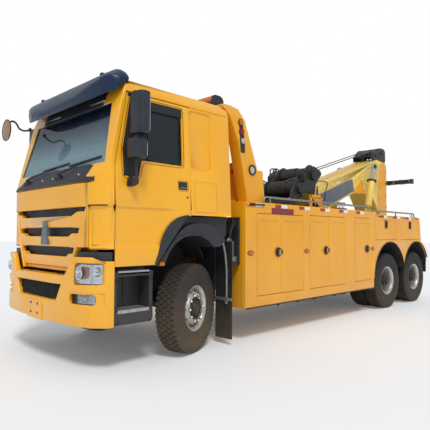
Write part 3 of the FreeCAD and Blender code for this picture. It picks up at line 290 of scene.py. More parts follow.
# Tyre rubber: brown-black, chalky with road dust in the tread and on the walls.
TYRE_RUBBER = finish("tyre_rubber", "#2B2622", "#372F28", 140, (0.72, 0.9), 5, 0.25, dust=0.5, dust_top=0.9)
# The newer tyres of the rear axles: the same rubber, blacker and with less dust on it.
TWIN_RUBBER = finish("twin_tyre_rubber", "#1B1A19", "#24221F", 140, (0.7, 0.88), 5, 0.25, dust=0.28, dust_top=0.9)
# Steel wheels in silver paint over a rough casting.
RIM_SILVER = finish("rim_silver", "#C4C2BC", "#B3AFA6", 120, (0.3, 0.42), 4, 0.05, metallic=0.65, dust=0.3,
    dust_top=0.8)
# Cast hub in greasy dark paint.
HUB_IRON = finish("hub_iron", "#2B2A29", "#3A3733", 60, (0.45, 0.65), 4, 0.2, metallic=0.3, dust=0.3, dust_top=0.8)
# Bright zinc and chrome of nuts, pins and bezels.
BRIGHT_METAL = finish("bright_plating", "#D6D6D2", "#C6C6C4", 40, (0.12, 0.24), 2, 0.01, metallic=1.0)
# Hard-chromed piston rods.
CHROMED_ROD = finish("chromed_rod", "#D9DADB", "#CFD0D2", 60, (0.08, 0.16), 2, 0.005, metallic=1.0)
# Galvanised tube of the hand rails.
RAIL_ZINC = finish("rail_zinc", "#9C9C96", "#85857F", 30, (0.4, 0.55), 3, 0.03, metallic=0.7)
# Winch castings in thick dark grey paint, worn through at the corners.
WINCH_GREY = finish("winch_grey", "#191A1C", "#262527", 90, (0.4, 0.6), 6, 0.15, wear="#5A554E")
# Rolled aluminium of the step treads.
TREAD_ALLOY = finish("tread_alloy", "#B8B9B8", "#A6A7A5", 60, (0.3, 0.45), 4, 0.05, metallic=0.9, dust=0.2)
# Bare grey sheet of the plate on the boom.
GREY_SHEET = finish("grey_sheet", "#6F7880", "#646D76", 300, (0.35, 0.45), 5, 0.02, metallic=0.4)
# Retroreflective strips: faintly pearly white and deep red.
WHITE_TAPE = finish("white_tape", "#E9E7E2", "#DAD8D4", 12, (0.25, 0.35), 3, 0.05)
RED_TAPE = finish("red_tape", "#B02A2C", "#9C2226", 12, (0.25, 0.35), 3, 0.05)
DARK_RED = finish("dark_red_sheet", "#8A2B38", "#7C2533", 80, (0.35, 0.45), 5, 0.02)
# Moulded dashboard and cab lining.
CAB_TRIM = finish("cab_trim", "#3A3B3D", "#444547", 200, (0.55, 0.7), 2.5, 0.1)
# Engine and gearbox castings.
CAST_IRON = finish("cast_iron", "#4A4C4C", "#3C3D3D", 80, (0.5, 0.7), 7, 0.3, metallic=0.3)
# Chrome vaporised on the bowls inside the lamps.
CHROME_PAINT = finish("lamp_chrome", "#E4E6E8", "#D8DADD", 60, (0.08, 0.16), 8, 0.01, metallic=0.9)
# Steel rope in side view on the drums: greasy, dark between its turns.
WOUND_STEEL = finish("wound_rope", "#54504A", "#3C3935", 14, (0.35, 0.55), 3, 0.25, metallic=0.75)
# Bronze-tinted convex glass of the round mirror.
BRONZE_MIRROR = finish("bronze_mirror", "#C8A47C", "#BE9A72", 200, (0.05, 0.1), 60, 0.002, metallic=1.0)
print(len(bpy.data.materials), "layered finishes")

# %% [markdown]
# ## Glass, lenses and cloth
# Glass is a shader setting more than a pattern: it lets light through and bends it. The cab's
# panes are tinted, so they get a dark base colour and a little dirt in their roughness. Lenses
# are the same thing in clear, amber and red, with fine ribs moulded into them.

# %% Glass and lenses
def glass(name, colour, clear, roughness, rib=0.0, band=None):
    """Transparent material; `clear` is how much light passes, `rib` the spacing of moulded ribs in mm.

    `band` holds the colour and the lower and upper height of a band of painted shade."""
    material, shader = blank(name)
    place = own_place(material)
    dull = ramp(material, noise(material, place, 350, 4.0), 0.4, 0.7, roughness, roughness + 0.06)
    fill(shader, {"Roughness": dull, "Base Color": linear(colour), "Transmission Weight": clear, "IOR": 1.45})
    if rib:
        fill(shader, {"Normal": bumps(material, waves(material, place, rib, "Z"), 1, 0.5)})
    # A band of painted shade: above its lower height the glass turns to the band's colour and lets more light
    # through.
    if band:
        share = ramp(material, height_of(material, place), band[1], band[2])
        fill(shader, {"Base Color": mixed(material, share, linear(colour), linear(band[0])),
            "Transmission Weight": ramp(material, share, 0.0, 1.0, clear, 0.88)})
    return material


WINDOW_GLASS = glass("tinted_glass", "#4E5A66", 0.88, 0.01)
# The laminated screen is coloured pale teal low down as a painted reflection of the sky, and has a dark blue band of
# painted shade from the visor on top.
SCREEN_GLASS_PAINTED_SKY_AND_SHADE = glass("screen_glass_painted_sky_and_shade", "#9FC2CC", 0.62, 0.01, band=("#33456B", 2.45, 2.92))
CLEAR_LENS = glass("clear_lens", "#F4F7F8", 0.97, 0.02)
AMBER_LENS = glass("amber_lens", "#F08A1E", 0.45, 0.12, rib=9)
RED_LENS = glass("red_lens", "#B3201C", 0.4, 0.12, rib=9)
WHITE_LENS = glass("white_lens", "#E6E8EA", 0.5, 0.15, rib=9)
# Silvered glass of the mirrors: a metal with almost no roughness.
MIRROR_SILVER = finish("silvered_glass", "#DDE3E8", "#D2DAE0", 200, (0.02, 0.05), 50, 0.001, metallic=1.0)
print("glass and lenses made")

# %% Rope and cloth
def along_uv(name, colour, second, bands, tilt, rough, relief, metallic=0.0):
    """A material whose pattern runs along a tube's own UV map, such as the strands of a rope."""
    material, shader = blank(name)
    places = add(material, "ShaderNodeUVMap").outputs[0]
    turned = add(material, "ShaderNodeMapping", {"Vector": places, "Scale": bands, "Rotation": (0, 0, tilt)})
    inputs = {"Vector": turned.outputs[0], "Scale": 1.0, "Distortion": 0.4, "Detail": 1.0}
    strands = add(material, "ShaderNodeTexWave", inputs).outputs["Fac"]
    fill(shader, {"Base Color": mixed(material, strands, linear(colour), linear(second)),
        "Normal": bumps(material, strands, relief), "Roughness": rough, "Metallic": metallic})
    return material


# Oiled steel wire rope: the strands cross the rope at a slant, dark in the valleys.
WIRE_ROPE = along_uv("wire_rope", "#3B3A38", "#8E8C86", (1, 60, 1), 0.6, 0.45, 1.5, metallic=0.7)


def woven(name, colour, second, thread):
    """Seat cloth: two crossing sets of threads, `thread` mm apart."""
    material, shader = blank(name)
    place = own_place(material)
    cloth = product(material, *[waves(material, place, thread, axis, Distortion=1.0) for axis in ("Y", "Z")])
    fill(shader, {"Base Color": mixed(material, cloth, linear(colour), linear(second)),
        "Normal": bumps(material, cloth, 0.8), "Roughness": 0.85, "Sheen Weight": 0.4})
    return material


# Real threads are too fine to be seen through the windows, so they are drawn 6 and 8 mm apart.
SEAT_CLOTH = woven("seat_cloth", "#4C5664", "#2B323D", 6)
BUNK_CLOTH = woven("bunk_cloth", "#8A8F96", "#6B7078", 8)
print("rope and cloth made")

# %% [markdown]
# ## Paint slots
# The imported model knows a handful of paint slots, such as body paint or rim silver. The pieces made here carry only
# their finishes.

# %% [markdown]
# ## Studio
# A pale floor, a pale world and one broad soft sun. The camera sees the world as plain white,
# while everything else is lit at a level where a colour shows about as it is written.

# %% Floor, world and sun
WHITE = (1, 1, 1, 1)


def build_stage():
    """The floor, the world and the lamps."""
    material, shader = blank("studio_floor")
    drift = add(material, "ShaderNodeTexNoise", {"Vector": own_place(material), "Scale": 0.4}).outputs["Fac"]
    fill(shader, {"Roughness": ramp(material, drift, 0.0, 1.0, 0.7, 0.8), "Base Color": linear("#F6F6F5")})
    path = add(material, "ShaderNodeLightPath").outputs["Is Camera Ray"]
    glow = add(material, "ShaderNodeEmission", {"Color": WHITE, "Strength": 1.0})
    lit = add(material, "ShaderNodeMixShader", {0: 0.1, 1: shader.outputs[0], 2: glow.outputs[0]})
    for_camera = add(material, "ShaderNodeMixShader", {0: path, 1: shader.outputs[0], 2: lit.outputs[0]})
    fill(material.node_tree.nodes["Material Output"], {"Surface": for_camera.outputs[0]})
    bm = bmesh.new()
    bmesh.ops.create_grid(bm, x_segments=1, y_segments=1, size=90)
    mesh = bpy.data.meshes.new("floor")
    bm.to_mesh(mesh)
    bm.free()
    mesh.materials.append(material)
    floor = bpy.data.objects.new("floor", mesh)
    bpy.context.scene.collection.objects.link(floor)
    floor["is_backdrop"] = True
    world = bpy.data.worlds.new("studio")
    world.use_nodes = True
    bpy.context.scene.world = world
    light = world.node_tree.nodes["Background"]
    fill(light, {"Color": linear("#EEF3FA"), "Strength": 0.62})
    seen = add(world, "ShaderNodeBackground", {"Color": WHITE, "Strength": 1.0})
    path = add(world, "ShaderNodeLightPath").outputs["Is Camera Ray"]
    mix = add(world, "ShaderNodeMixShader", {0: path, 1: light.outputs[0], 2: seen.outputs[0]})
    fill(world.node_tree.nodes["World Output"], {"Surface": mix.outputs[0]})
    sun = bpy.data.lights.new("sun", "SUN")
    sun.energy = 1.75
    sun.angle = math.radians(14)
    lamp = bpy.data.objects.new("sun", sun)
    lamp.rotation_mode = "QUATERNION"
    lamp.rotation_quaternion = Vector((0.42, 0.62, 0.95)).to_track_quat("Z", "Y")
    bpy.context.scene.collection.objects.link(lamp)


build_stage()
print("studio built")

# %% [markdown]
# ## Tools for shapes
# Each shape starts from a bmesh primitive or from one outline, and bmesh operators extrude,
# spin or bevel it. `piece` turns the finished mesh into an object, moves it from the axle's
# coordinates into the frame, and lets it ride on its body.

# %% Making pieces
def piece(name, bm, body, material, replaces=(), bevel=0.0, segments=2, angle=32, outward=True):
    """Finish a mesh: place it, shade it, round its edges and let it ride on its body."""
    if outward:
        bmesh.ops.recalc_face_normals(bm, faces=bm.faces)
    bmesh.ops.translate(bm, verts=bm.verts, vec=(AXLE_X, 0, 0))
    mesh = bpy.data.meshes.new(name)
    bm.to_mesh(mesh)
    bm.free()
    mesh.materials.append(material)
    mesh.polygons.foreach_set("use_smooth", [True] * len(mesh.polygons))
    thing = bpy.data.objects.new(name, mesh)
    bpy.context.scene.collection.objects.link(thing)
    if bevel:
        rounding = thing.modifiers.new("rounding", "BEVEL")
        rounding.width = bevel
        rounding.segments = segments
        rounding.limit_method = "ANGLE"
        rounding.angle_limit = math.radians(angle)
        rounding.use_clamp_overlap = False
        rounding.harden_normals = True
    else:
        mesh.set_sharp_from_angle(angle=math.radians(angle))
    if body:
        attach(thing, body)
    if replaces:
        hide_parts(*replaces)
    return thing


def cad_copy(*nodes, whole_faces=True):
    """The meshes of CAD nodes in axle coordinates, with their loose triangles joined into whole faces."""
    bm = bmesh.new()
    for node in nodes:
        bm.from_mesh(frame["nodes"][node].data)
    bmesh.ops.remove_doubles(bm, verts=bm.verts, dist=0.00002)
    if whole_faces:
        bmesh.ops.dissolve_limit(bm, angle_limit=math.radians(0.6), verts=bm.verts, edges=bm.edges)
    bmesh.ops.translate(bm, verts=bm.verts, vec=(-AXLE_X, 0, 0))
    return bm


def softened(name, nodes, body, material, bevel, segments=3, angle=32):
    """CAD nodes with their edges rounded as pressed, welded or moulded parts are."""
    return piece(name, cad_copy(*nodes), body, material, replaces=nodes, bevel=bevel, segments=segments, angle=angle,
        outward=False)


print("piece tools ready")

# %% Boxes, drums and prisms
def box(bm, low, high):
    """A box between two corners; returns its vertices."""
    made = bmesh.ops.create_cube(bm, size=1)["verts"]
    low, high = Vector(low), Vector(high)
    bmesh.ops.scale(bm, verts=made, vec=high - low)
    bmesh.ops.translate(bm, verts=made, vec=(low + high) / 2)
    return made


AXES = {"x": Vector((1, 0, 0)), "y": Vector((0, 1, 0)), "z": Vector((0, 0, 1))}


def direction(axis):
    """A unit vector from an axis letter or from any vector."""
    return AXES[axis] if isinstance(axis, str) else Vector(axis).normalized()


def drum(bm, centre, axis, radius, length, sides=32, end_radius=None):
    """A cylinder or cone whose middle is at `centre`; returns its vertices."""
    turn = direction(axis).to_track_quat("Z", "Y").to_matrix().to_4x4()
    matrix = Matrix.Translation(centre) @ turn
    return bmesh.ops.create_cone(bm, cap_ends=True, segments=sides, radius1=radius,
        radius2=radius if end_radius is None else end_radius, depth=length, matrix=matrix)["verts"]


def outline_face(bm, outline, plane, level):
    """A flat face from an outline in one plane, at a level of the third axis."""
    order = {"xz": (0, 2, 1), "yz": (1, 2, 0), "xy": (0, 1, 2)}[plane]
    corners = []
    for u, v in outline:
        place = [0, 0, 0]
        place[order[0]], place[order[1]], place[order[2]] = u, v, level
        corners.append(bm.verts.new(place))
    return bm.faces.new(corners)


def prism(bm, outline, plane, low, high):
    """An outline extruded between two levels; returns its vertices."""
    face = outline_face(bm, outline, plane, low)
    across = {"xz": (0, 1, 0), "yz": (1, 0, 0), "xy": (0, 0, 1)}[plane]
    made = bmesh.ops.extrude_face_region(bm, geom=[face])["geom"]
    top = [part for part in made if isinstance(part, bmesh.types.BMVert)]
    bmesh.ops.translate(bm, verts=top, vec=Vector(across) * (high - low))
    return list(face.verts) + top


print("straight shapes ready")

# %% Turned shapes, tubes and bolts
def spun(bm, profile, centre, axis, steps=48, closed=True, start=(0, 0, 1)):
    """A profile of (along, radius) points turned about an axis through `centre`."""
    along, centre = direction(axis), Vector(centre)
    outward = Vector(start)
    before = len(bm.verts)
    verts = [bm.verts.new(centre + along * step + outward * radius) for step, radius in profile]
    pairs = list(zip(verts, verts[1:] + verts[:1])) if closed else list(zip(verts, verts[1:]))
    edges = [bm.edges.new(pair) for pair in pairs]
    bmesh.ops.spin(bm, geom=verts + edges, cent=centre, axis=along, angle=math.tau, steps=steps, use_merge=True)
    if not closed:
        bm.verts.ensure_lookup_table()
        bmesh.ops.remove_doubles(bm, verts=bm.verts[before:], dist=0.00005)


def pipe(bm, points, radius, sides=3, smooth=True):
    """A round tube along a smooth line through some points, made by a bevelled curve."""
    curve = bpy.data.curves.new("line", "CURVE")
    curve.dimensions = "3D"
    curve.bevel_depth = radius
    curve.bevel_resolution = sides
    curve.resolution_u = 6
    curve.use_fill_caps = True
    spline = curve.splines.new("BEZIER" if smooth else "POLY")
    line = spline.bezier_points if smooth else spline.points
    line.add(len(points) - 1)
    for place, point in zip(line, points):
        if smooth:
            place.co = point
            place.handle_left_type = place.handle_right_type = "AUTO"
        else:
            place.co = (*point, 1)
    thing = bpy.data.objects.new("line", curve)
    mesh = bpy.data.meshes.new_from_object(thing)
    bm.from_mesh(mesh)
    for data, block in ((bpy.data.objects, thing), (bpy.data.curves, curve), (bpy.data.meshes, mesh)):
        data.remove(block)


def bolt(bm, centre, axis, size=0.012):
    """A hexagon head on its washer."""
    out = direction(axis)
    centre = Vector(centre)
    drum(bm, centre + out * size * 0.12, axis, size * 1.15, size * 0.24, 12)
    drum(bm, centre + out * size * 0.6, axis, size * 0.9, size * 0.75, 6, size * 0.85)


print("round shapes ready")

# %% Mirroring, setting out and carving
def flip(bm, sign):
    """Carry a mesh drawn on the left over to the right side if the sign says so."""
    if sign < 0:
        bmesh.ops.scale(bm, verts=bm.verts, vec=(1, -1, 1))
        bmesh.ops.reverse_faces(bm, faces=bm.faces)


def both(bm):
    """Add the mirror image of everything on the other side of the truck."""
    copy = bmesh.ops.duplicate(bm, geom=bm.verts[:] + bm.edges[:] + bm.faces[:])["geom"]
    bmesh.ops.scale(bm, verts=[part for part in copy if isinstance(part, bmesh.types.BMVert)], vec=(1, -1, 1))
    bmesh.ops.reverse_faces(bm, faces=[part for part in copy if isinstance(part, bmesh.types.BMFace)])


def add_mesh(bm, mesh, place=(0, 0, 0)):
    """Add a mesh at a place."""
    before = len(bm.verts)
    bm.from_mesh(mesh)
    bm.verts.ensure_lookup_table()
    bmesh.ops.translate(bm, verts=bm.verts[before:], vec=place)


def set_out(bm, cell, places=((0, 0, 0),)):
    """Add a small bmesh at each of several places, and free it."""
    mesh = bpy.data.meshes.new("cell")
    cell.to_mesh(mesh)
    cell.free()
    for place in places:
        add_mesh(bm, mesh, place)
    bpy.data.meshes.remove(mesh)


def carved(target, cutter):
    """Cut one closed mesh out of another with a boolean, and return the result."""
    things = []
    for number, bm in enumerate((target, cutter)):
        bmesh.ops.recalc_face_normals(bm, faces=bm.faces)
        mesh = bpy.data.meshes.new(f"carving_{number}")
        bm.to_mesh(mesh)
        bm.free()
        thing = bpy.data.objects.new(f"carving_{number}", mesh)
        bpy.context.scene.collection.objects.link(thing)
        things.append(thing)
    cut = things[0].modifiers.new("cut", "BOOLEAN")
    cut.operation = "DIFFERENCE"
    cut.solver = "EXACT"
    cut.object = things[1]
    bpy.context.view_layer.update()
    result = bmesh.new()
    result.from_mesh(things[0].evaluated_get(bpy.context.evaluated_depsgraph_get()).data)
    for thing in things:
        mesh = thing.data
        bpy.data.objects.remove(thing)
        bpy.data.meshes.remove(mesh)
    return result


print("shape tools ready")

# %% [markdown]
# ## Tyres
# A truck tyre is one turned shape with hundreds of rubber blocks on it. The carcass is spun from
# its section, with the raised rings that a mould leaves on the wall. One tapered block is
# then set out along five ribs, half a pitch apart from rib to rib, and slightly turned, which
# gives the zigzag grooves of a mixed-service tread.

# %% One tyre
BEAD = 0.256
TREAD_DEPTH = 0.013
CARCASS = ((0.098, BEAD), (0.112, 0.262), (0.122, 0.276), (0.127, 0.29), (0.134, 0.294), (0.139, 0.312),
    (0.1405, 0.322), (0.144, 0.326), (0.1485, 0.365), (0.1497, 0.4), (0.149, 0.44), (0.1455, 0.478), (0.1462, 0.482),
    (0.144, 0.492), (0.141, 0.496), (0.136, 0.52), (0.129, 0.536), (0.119, 0.545), (0.104, 0.5485), (0.05, 0.5492))
# middle of each rib, its width, and the turn of its blocks in degrees
RIBS = ((-0.1015, 0.046, -5), (-0.0525, 0.04, 14), (0.0, 0.044, -14), (0.0525, 0.04, 14), (0.1015, 0.046, 5))
PITCHES = 50


def tread_rib(bm, place, width, turn, offset):
    """One rib: a tapered block, repeated round the tyre."""
    pitch = math.tau / PITCHES
    shoulder = abs(place) > 0.08
    length = pitch * TYRE_RADIUS * (0.72 if shoulder else 0.8)
    cell = bmesh.new()
    block = bmesh.ops.create_cube(cell, size=1)["verts"]
    bmesh.ops.scale(cell, verts=block, vec=(length, width, TREAD_DEPTH + 0.006))
    for vert in block:
        if vert.co.z > 0:
            vert.co.x *= 0.86
            vert.co.y *= 0.9
        if shoulder and vert.co.y * place > 0:
            vert.co.z -= 0.004 if vert.co.z > 0 else 0.016
            vert.co.y += math.copysign(0.004, place)
    bmesh.ops.rotate(cell, verts=block, matrix=Matrix.Rotation(math.radians(turn), 3, "Z"))
    bmesh.ops.translate(cell, verts=block, vec=(0, place, TYRE_RADIUS - (TREAD_DEPTH + 0.006) / 2 - 0.0005))
    bmesh.ops.rotate(cell, verts=block, matrix=Matrix.Rotation(offset * pitch, 3, "Y"))
    bmesh.ops.spin(cell, geom=cell.verts[:] + cell.edges[:] + cell.faces[:], cent=(0, 0, 0), axis=(0, 1, 0),
        angle=math.tau - pitch, steps=PITCHES - 1, use_duplicate=True)
    bmesh.ops.recalc_face_normals(cell, faces=cell.faces)
    set_out(bm, cell)


def make_tyre():
    """One tyre about the Y axis, kept as a mesh that all ten wheels copy."""
    bm = bmesh.new()
    section = list(CARCASS) + [(-along, radius) for along, radius in reversed(CARCASS)]
    spun(bm, section, (0, 0, 0), "y", steps=90)
    bmesh.ops.recalc_face_normals(bm, faces=bm.faces)
    for number, (place, width, turn) in enumerate(RIBS):
        tread_rib(bm, place, width, turn, 0.5 * (number % 2))
    mesh = bpy.data.meshes.new("one_tyre")
    bm.to_mesh(mesh)
    bm.free()
    return mesh


ONE_TYRE = make_tyre()
print("one tyre has", len(ONE_TYRE.polygons), "faces")

# %% [markdown]
# ## Wheels
# A disc wheel is two parts welded together: a rolled rim that the tyre sits on, and a pressed
# disc with oval hand holes, bolted to the hub by ten studs. Both are spun from their sections,
# and the holes are carved out with one boolean. The front disc bulges outwards, and the rear
# ones are the same wheel turned round, so the outer one shows a deep dish.

# %% Rims, discs and nuts
RIM = ((-0.122, 0.286), (-0.112, 0.262), (-0.098, 0.2535), (-0.06, 0.247), (0.06, 0.247), (0.098, 0.2535),
    (0.112, 0.262), (0.122, 0.286), (0.1265, 0.289), (0.1295, 0.287), (0.129, 0.281), (0.118, 0.257), (0.104, 0.246),
    (0.062, 0.238), (-0.062, 0.238), (-0.104, 0.246), (-0.118, 0.257), (-0.129, 0.281), (-0.1295, 0.287),
    (-0.1265, 0.289))
FRONT_DISC = ((0.028, 0.2395), (0.05, 0.236), (0.07, 0.2275), (0.106, 0.1935), (0.115, 0.188), (0.118, 0.182),
    (0.118, 0.14), (0.106, 0.14), (0.106, 0.178), (0.098, 0.184), (0.062, 0.218), (0.046, 0.2255), (0.028, 0.2285))
STUDS = 10
STUD_RADIUS = 0.1675


def ring_places(count, radius, along, offset=0.0):
    """Places round the Y axis."""
    angles = [math.tau * (number + offset) / count for number in range(count)]
    return [Vector((radius * math.cos(angle), along, radius * math.sin(angle))) for angle in angles]


def hand_holes(radius, along, slope, long, wide):
    """Ten oval cutters, each square to a disc that slopes by `slope` degrees."""
    cutter = bmesh.new()
    for number in range(STUDS):
        made = drum(cutter, (0, 0, 0), "y", 1, 0.12, 20)
        bmesh.ops.scale(cutter, verts=made, vec=(long, 1, wide))
        bmesh.ops.rotate(cutter, verts=made, matrix=Matrix.Rotation(math.radians(slope), 3, "X"))
        bmesh.ops.translate(cutter, verts=made, vec=(0, along, radius))
        angle = math.tau * (number + 0.5) / STUDS
        bmesh.ops.rotate(cutter, verts=made, matrix=Matrix.Rotation(angle, 3, "Y"))
    return cutter


def wheel_nuts(bm, along):
    """Ten nuts on their studs, facing along +Y."""
    for place in ring_places(STUDS, STUD_RADIUS, along):
        drum(bm, place + Vector((0, 0.004, 0)), "y", 0.021, 0.008, 14)
        drum(bm, place + Vector((0, 0.017, 0)), "y", 0.0165, 0.02, 6, 0.0155)
        drum(bm, place + Vector((0, 0.029, 0)), "y", 0.013, 0.008, 12, 0.009)


# the front wheels are turned by this angle about kingpins at this distance from the middle
STEER, KINGPIN = 20, 0.87


def set_wheel(bm, sign, centre, steer=0.0):
    """Carry a wheel drawn about the origin, outside at +Y, to its place on one side."""
    if sign < 0:
        bmesh.ops.rotate(bm, verts=bm.verts, matrix=Matrix.Rotation(math.pi, 3, "Z"))
    bmesh.ops.translate(bm, verts=bm.verts, vec=centre)
    if steer:
        kingpin = Vector((0, sign * KINGPIN, 0))
        bmesh.ops.rotate(bm, verts=bm.verts, cent=kingpin, matrix=Matrix.Rotation(math.radians(steer), 3, "Z"))


print("wheel tools ready")

# %% Front wheels
FRONT_TRACK = 1.01


def front_wheels():
    """Steered wheels: tyre, silver rim and disc, bright nuts, dark hub."""
    for side, sign in SIDES:
        centre = (0, sign * FRONT_TRACK, TYRE_RADIUS)
        body = f"front_wheel_{side}"
        bm = bmesh.new()
        add_mesh(bm, ONE_TYRE)
        set_wheel(bm, sign, centre, STEER)
        piece(f"front_tyre_{side}_treaded", bm, body, TYRE_RUBBER, replaces=(f"front_tyre_{side}",), outward=False)
        disc = bmesh.new()
        spun(disc, FRONT_DISC, (0, 0, 0), "y", steps=80)
        bm = carved(disc, hand_holes(0.2105, 0.088, 45, 0.023, 0.0145))
        spun(bm, RIM, (0, 0, 0), "y", steps=80)
        set_wheel(bm, sign, centre, STEER)
        piece(f"front_disc_wheel_{side}", bm, body, RIM_SILVER, replaces=(f"front_rim_{side}",))
        bm = bmesh.new()
        wheel_nuts(bm, 0.118)
        drum(bm, (0, 0.1, 0.262), (0, 1, 0.5), 0.005, 0.05, 10)
        set_wheel(bm, sign, centre, STEER)
        piece(f"front_wheel_nuts_{side}", bm, body, BRIGHT_METAL)
        bm = bmesh.new()
        spun(bm, ((0.02, 0.0), (0.02, 0.1385), (0.122, 0.1385), (0.132, 0.134), (0.136, 0.124), (0.128, 0.116),
            (0.128, 0.102), (0.146, 0.096), (0.156, 0.09), (0.158, 0.062), (0.166, 0.054), (0.17, 0.04),
            (0.172, 0.0)), (0, 0, 0), "y", steps=48, closed=False)
        for place in ring_places(STUDS, 0.113, 0.128, 0.5):
            drum(bm, place, "y", 0.011, 0.026, 6)
        for place in ring_places(6, 0.077, 0.158):
            bolt(bm, place, "y", 0.008)
        set_wheel(bm, sign, centre, STEER)
        piece(f"front_hub_{side}", bm, body, HUB_IRON)


front_wheels()
print("front wheels made")

# %% Rear wheels
REAR_TRACK = 1.05
TWIN_GAP = 0.34


def rear_wheels():
    """Twin wheels on two axles: two tyres, two rims with a deep dish, and the axle end."""
    for axle, place in (("mid", -WHEELBASE), ("rear", -WHEELBASE - AXLE_GAP)):
        for side, sign in SIDES:
            centre = (place, sign * REAR_TRACK, TYRE_RADIUS)
            body = f"{axle}_wheels_{side}"
            bm = bmesh.new()
            add_mesh(bm, ONE_TYRE)
            add_mesh(bm, ONE_TYRE, (0, -TWIN_GAP, 0))
            set_wheel(bm, sign, centre)
            piece(f"{axle}_tyres_{side}_treaded", bm, body, TWIN_RUBBER, replaces=(f"{axle}_tyres_{side}",),
                outward=False)
            disc = bmesh.new()
            spun(disc, ((-0.108, 0.2395), (-0.118, 0.232), (-0.15, 0.2), (-0.158, 0.192), (-0.158, 0.14),
                (-0.17, 0.14), (-0.17, 0.196), (-0.16, 0.206), (-0.128, 0.238), (-0.116, 0.2395)), (0, 0, 0), "y",
                steps=80)
            bm = carved(disc, hand_holes(0.2145, -0.138, -45, 0.023, 0.0145))
            spun(bm, ((-0.232, 0.2395), (-0.222, 0.232), (-0.19, 0.2), (-0.182, 0.192), (-0.182, 0.14), (-0.17, 0.14),
                (-0.17, 0.196), (-0.18, 0.206), (-0.212, 0.238), (-0.224, 0.2395)), (0, 0, 0), "y", steps=64)
            spun(bm, RIM, (0, 0, 0), "y", steps=72)
            spun(bm, RIM, (0, -TWIN_GAP, 0), "y", steps=72)
            set_wheel(bm, sign, centre)
            piece(f"{axle}_disc_wheels_{side}", bm, body, RIM_SILVER, replaces=(f"{axle}_rims_{side}",))
            bm = bmesh.new()
            wheel_nuts(bm, -0.158)
            set_wheel(bm, sign, centre)
            piece(f"{axle}_wheel_nuts_{side}", bm, body, BRIGHT_METAL)
            bm = bmesh.new()
            spun(bm, ((-0.4, 0.0), (-0.4, 0.138), (-0.15, 0.138), (-0.135, 0.128), (-0.1, 0.116), (0.062, 0.104),
                (0.07, 0.112), (0.092, 0.112), (0.098, 0.104), (0.1, 0.062), (0.128, 0.056), (0.136, 0.044),
                (0.138, 0.0)), (0, 0, 0), "y", steps=48, closed=False)
            for point in ring_places(8, 0.086, 0.098):
                bolt(bm, point, "y", 0.01)
            set_wheel(bm, sign, centre)
            piece(f"{axle}_hub_{side}", bm, body, HUB_IRON)


rear_wheels()
print("rear wheels made")

# %% [markdown]
# ## Tools for the cab
# The cab is not a box: its front is bent round the corners and its sides lean in above the
# waist. Trim is drawn flat, where it's easy to measure, and then bent or leaned into place.

# %% Bending and leaning
def cut_across(bm, axis, places):
    """Split a mesh at several places along an axis, so that it can bend there."""
    bmesh.ops.triangulate(bm, faces=[face for face in bm.faces if len(face.verts) > 4])
    for place in places:
        bmesh.ops.bisect_plane(bm, geom=bm.verts[:] + bm.edges[:] + bm.faces[:], dist=0.00001,
            plane_co=direction(axis) * place, plane_no=direction(axis))


def front_drop(across):
    """How far the front falls back at a distance from the middle."""
    return 0.32 * max(0.0, abs(across) - 0.6) ** 2.2


def bend_front(bm):
    """Bend a flat front part round the corners of the cab."""
    places = (0.6, 0.68, 0.75, 0.82, 0.89, 0.95, 1.01)
    cut_across(bm, "y", places + tuple(-place for place in places))
    for vert in bm.verts:
        vert.co.x -= front_drop(vert.co.y)


def side_face(height):
    """How far the cab's side is from the middle at a height."""
    if height < 1.81:
        return 1.215
    if height < 2.12:
        return 1.215 - 0.015 * (height - 1.81) / 0.31
    return 1.2 - 0.05 * (height - 2.12) / 0.99


def lean_side(bm):
    """Carry trim drawn about y = 0 out to the left side of the cab, leaning with it."""
    cut_across(bm, "z", (1.81, 2.12))
    for vert in bm.verts:
        vert.co.y += side_face(vert.co.z)


print("bending tools ready")

# %% Outlines, frames and linings
def grown(outline, by):
    """An outline moved outwards all round; it runs anticlockwise."""
    corners = [Vector(corner) for corner in outline]
    area = sum(a.x * b.y - b.x * a.y for a, b in zip(corners, corners[1:] + corners[:1]))
    by = math.copysign(by, area * by)
    moved = []
    for before, corner, after in zip(corners[-1:] + corners[:-1], corners, corners[1:] + corners[:1]):
        first, second = (corner - before).normalized(), (after - corner).normalized()
        out = (Vector((first.y, -first.x)) + Vector((second.y, -second.x))).normalized()
        moved.append(corner + out * by / max(0.3, out.dot(Vector((first.y, -first.x)))))
    return [tuple(corner) for corner in moved]


def rounded(outline, radius, steps=4):
    """An outline with its corners turned into short arcs."""
    corners = [Vector(corner) for corner in outline]
    line = []
    for before, corner, after in zip(corners[-1:] + corners[:-1], corners, corners[1:] + corners[:1]):
        reach = min(radius, (before - corner).length * 0.45, (after - corner).length * 0.45)
        start = corner + (before - corner).normalized() * reach
        end = corner + (after - corner).normalized() * reach
        for step in range(steps + 1):
            share = step / steps
            line.append(tuple(start * (1 - share) ** 2 + corner * 2 * share * (1 - share) + end * share ** 2))
    return line


def ring(bm, outline, width, plane, low, high):
    """A flat frame `width` wide inside an outline, between two levels."""
    face = outline_face(bm, outline, plane, low)
    frame_faces = bmesh.ops.inset_region(bm, faces=[face], thickness=width, use_even_offset=True,
        use_boundary=True)["faces"]
    bmesh.ops.delete(bm, geom=[face], context="FACES")
    made = bmesh.ops.extrude_face_region(bm, geom=frame_faces)["geom"]
    across = {"xz": (0, 1, 0), "yz": (1, 0, 0), "xy": (0, 0, 1)}[plane]
    top = [part for part in made if isinstance(part, bmesh.types.BMVert)]
    bmesh.ops.translate(bm, verts=top, vec=Vector(across) * (high - low))


def whole(half):
    """Close half an outline over the middle line."""
    return list(half) + [(-first, second) for first, second in reversed(half)]


def rectangle(low, high):
    """The four corners of an upright rectangle."""
    return [(low[0], low[1]), (high[0], low[1]), (high[0], high[1]), (low[0], high[1])]


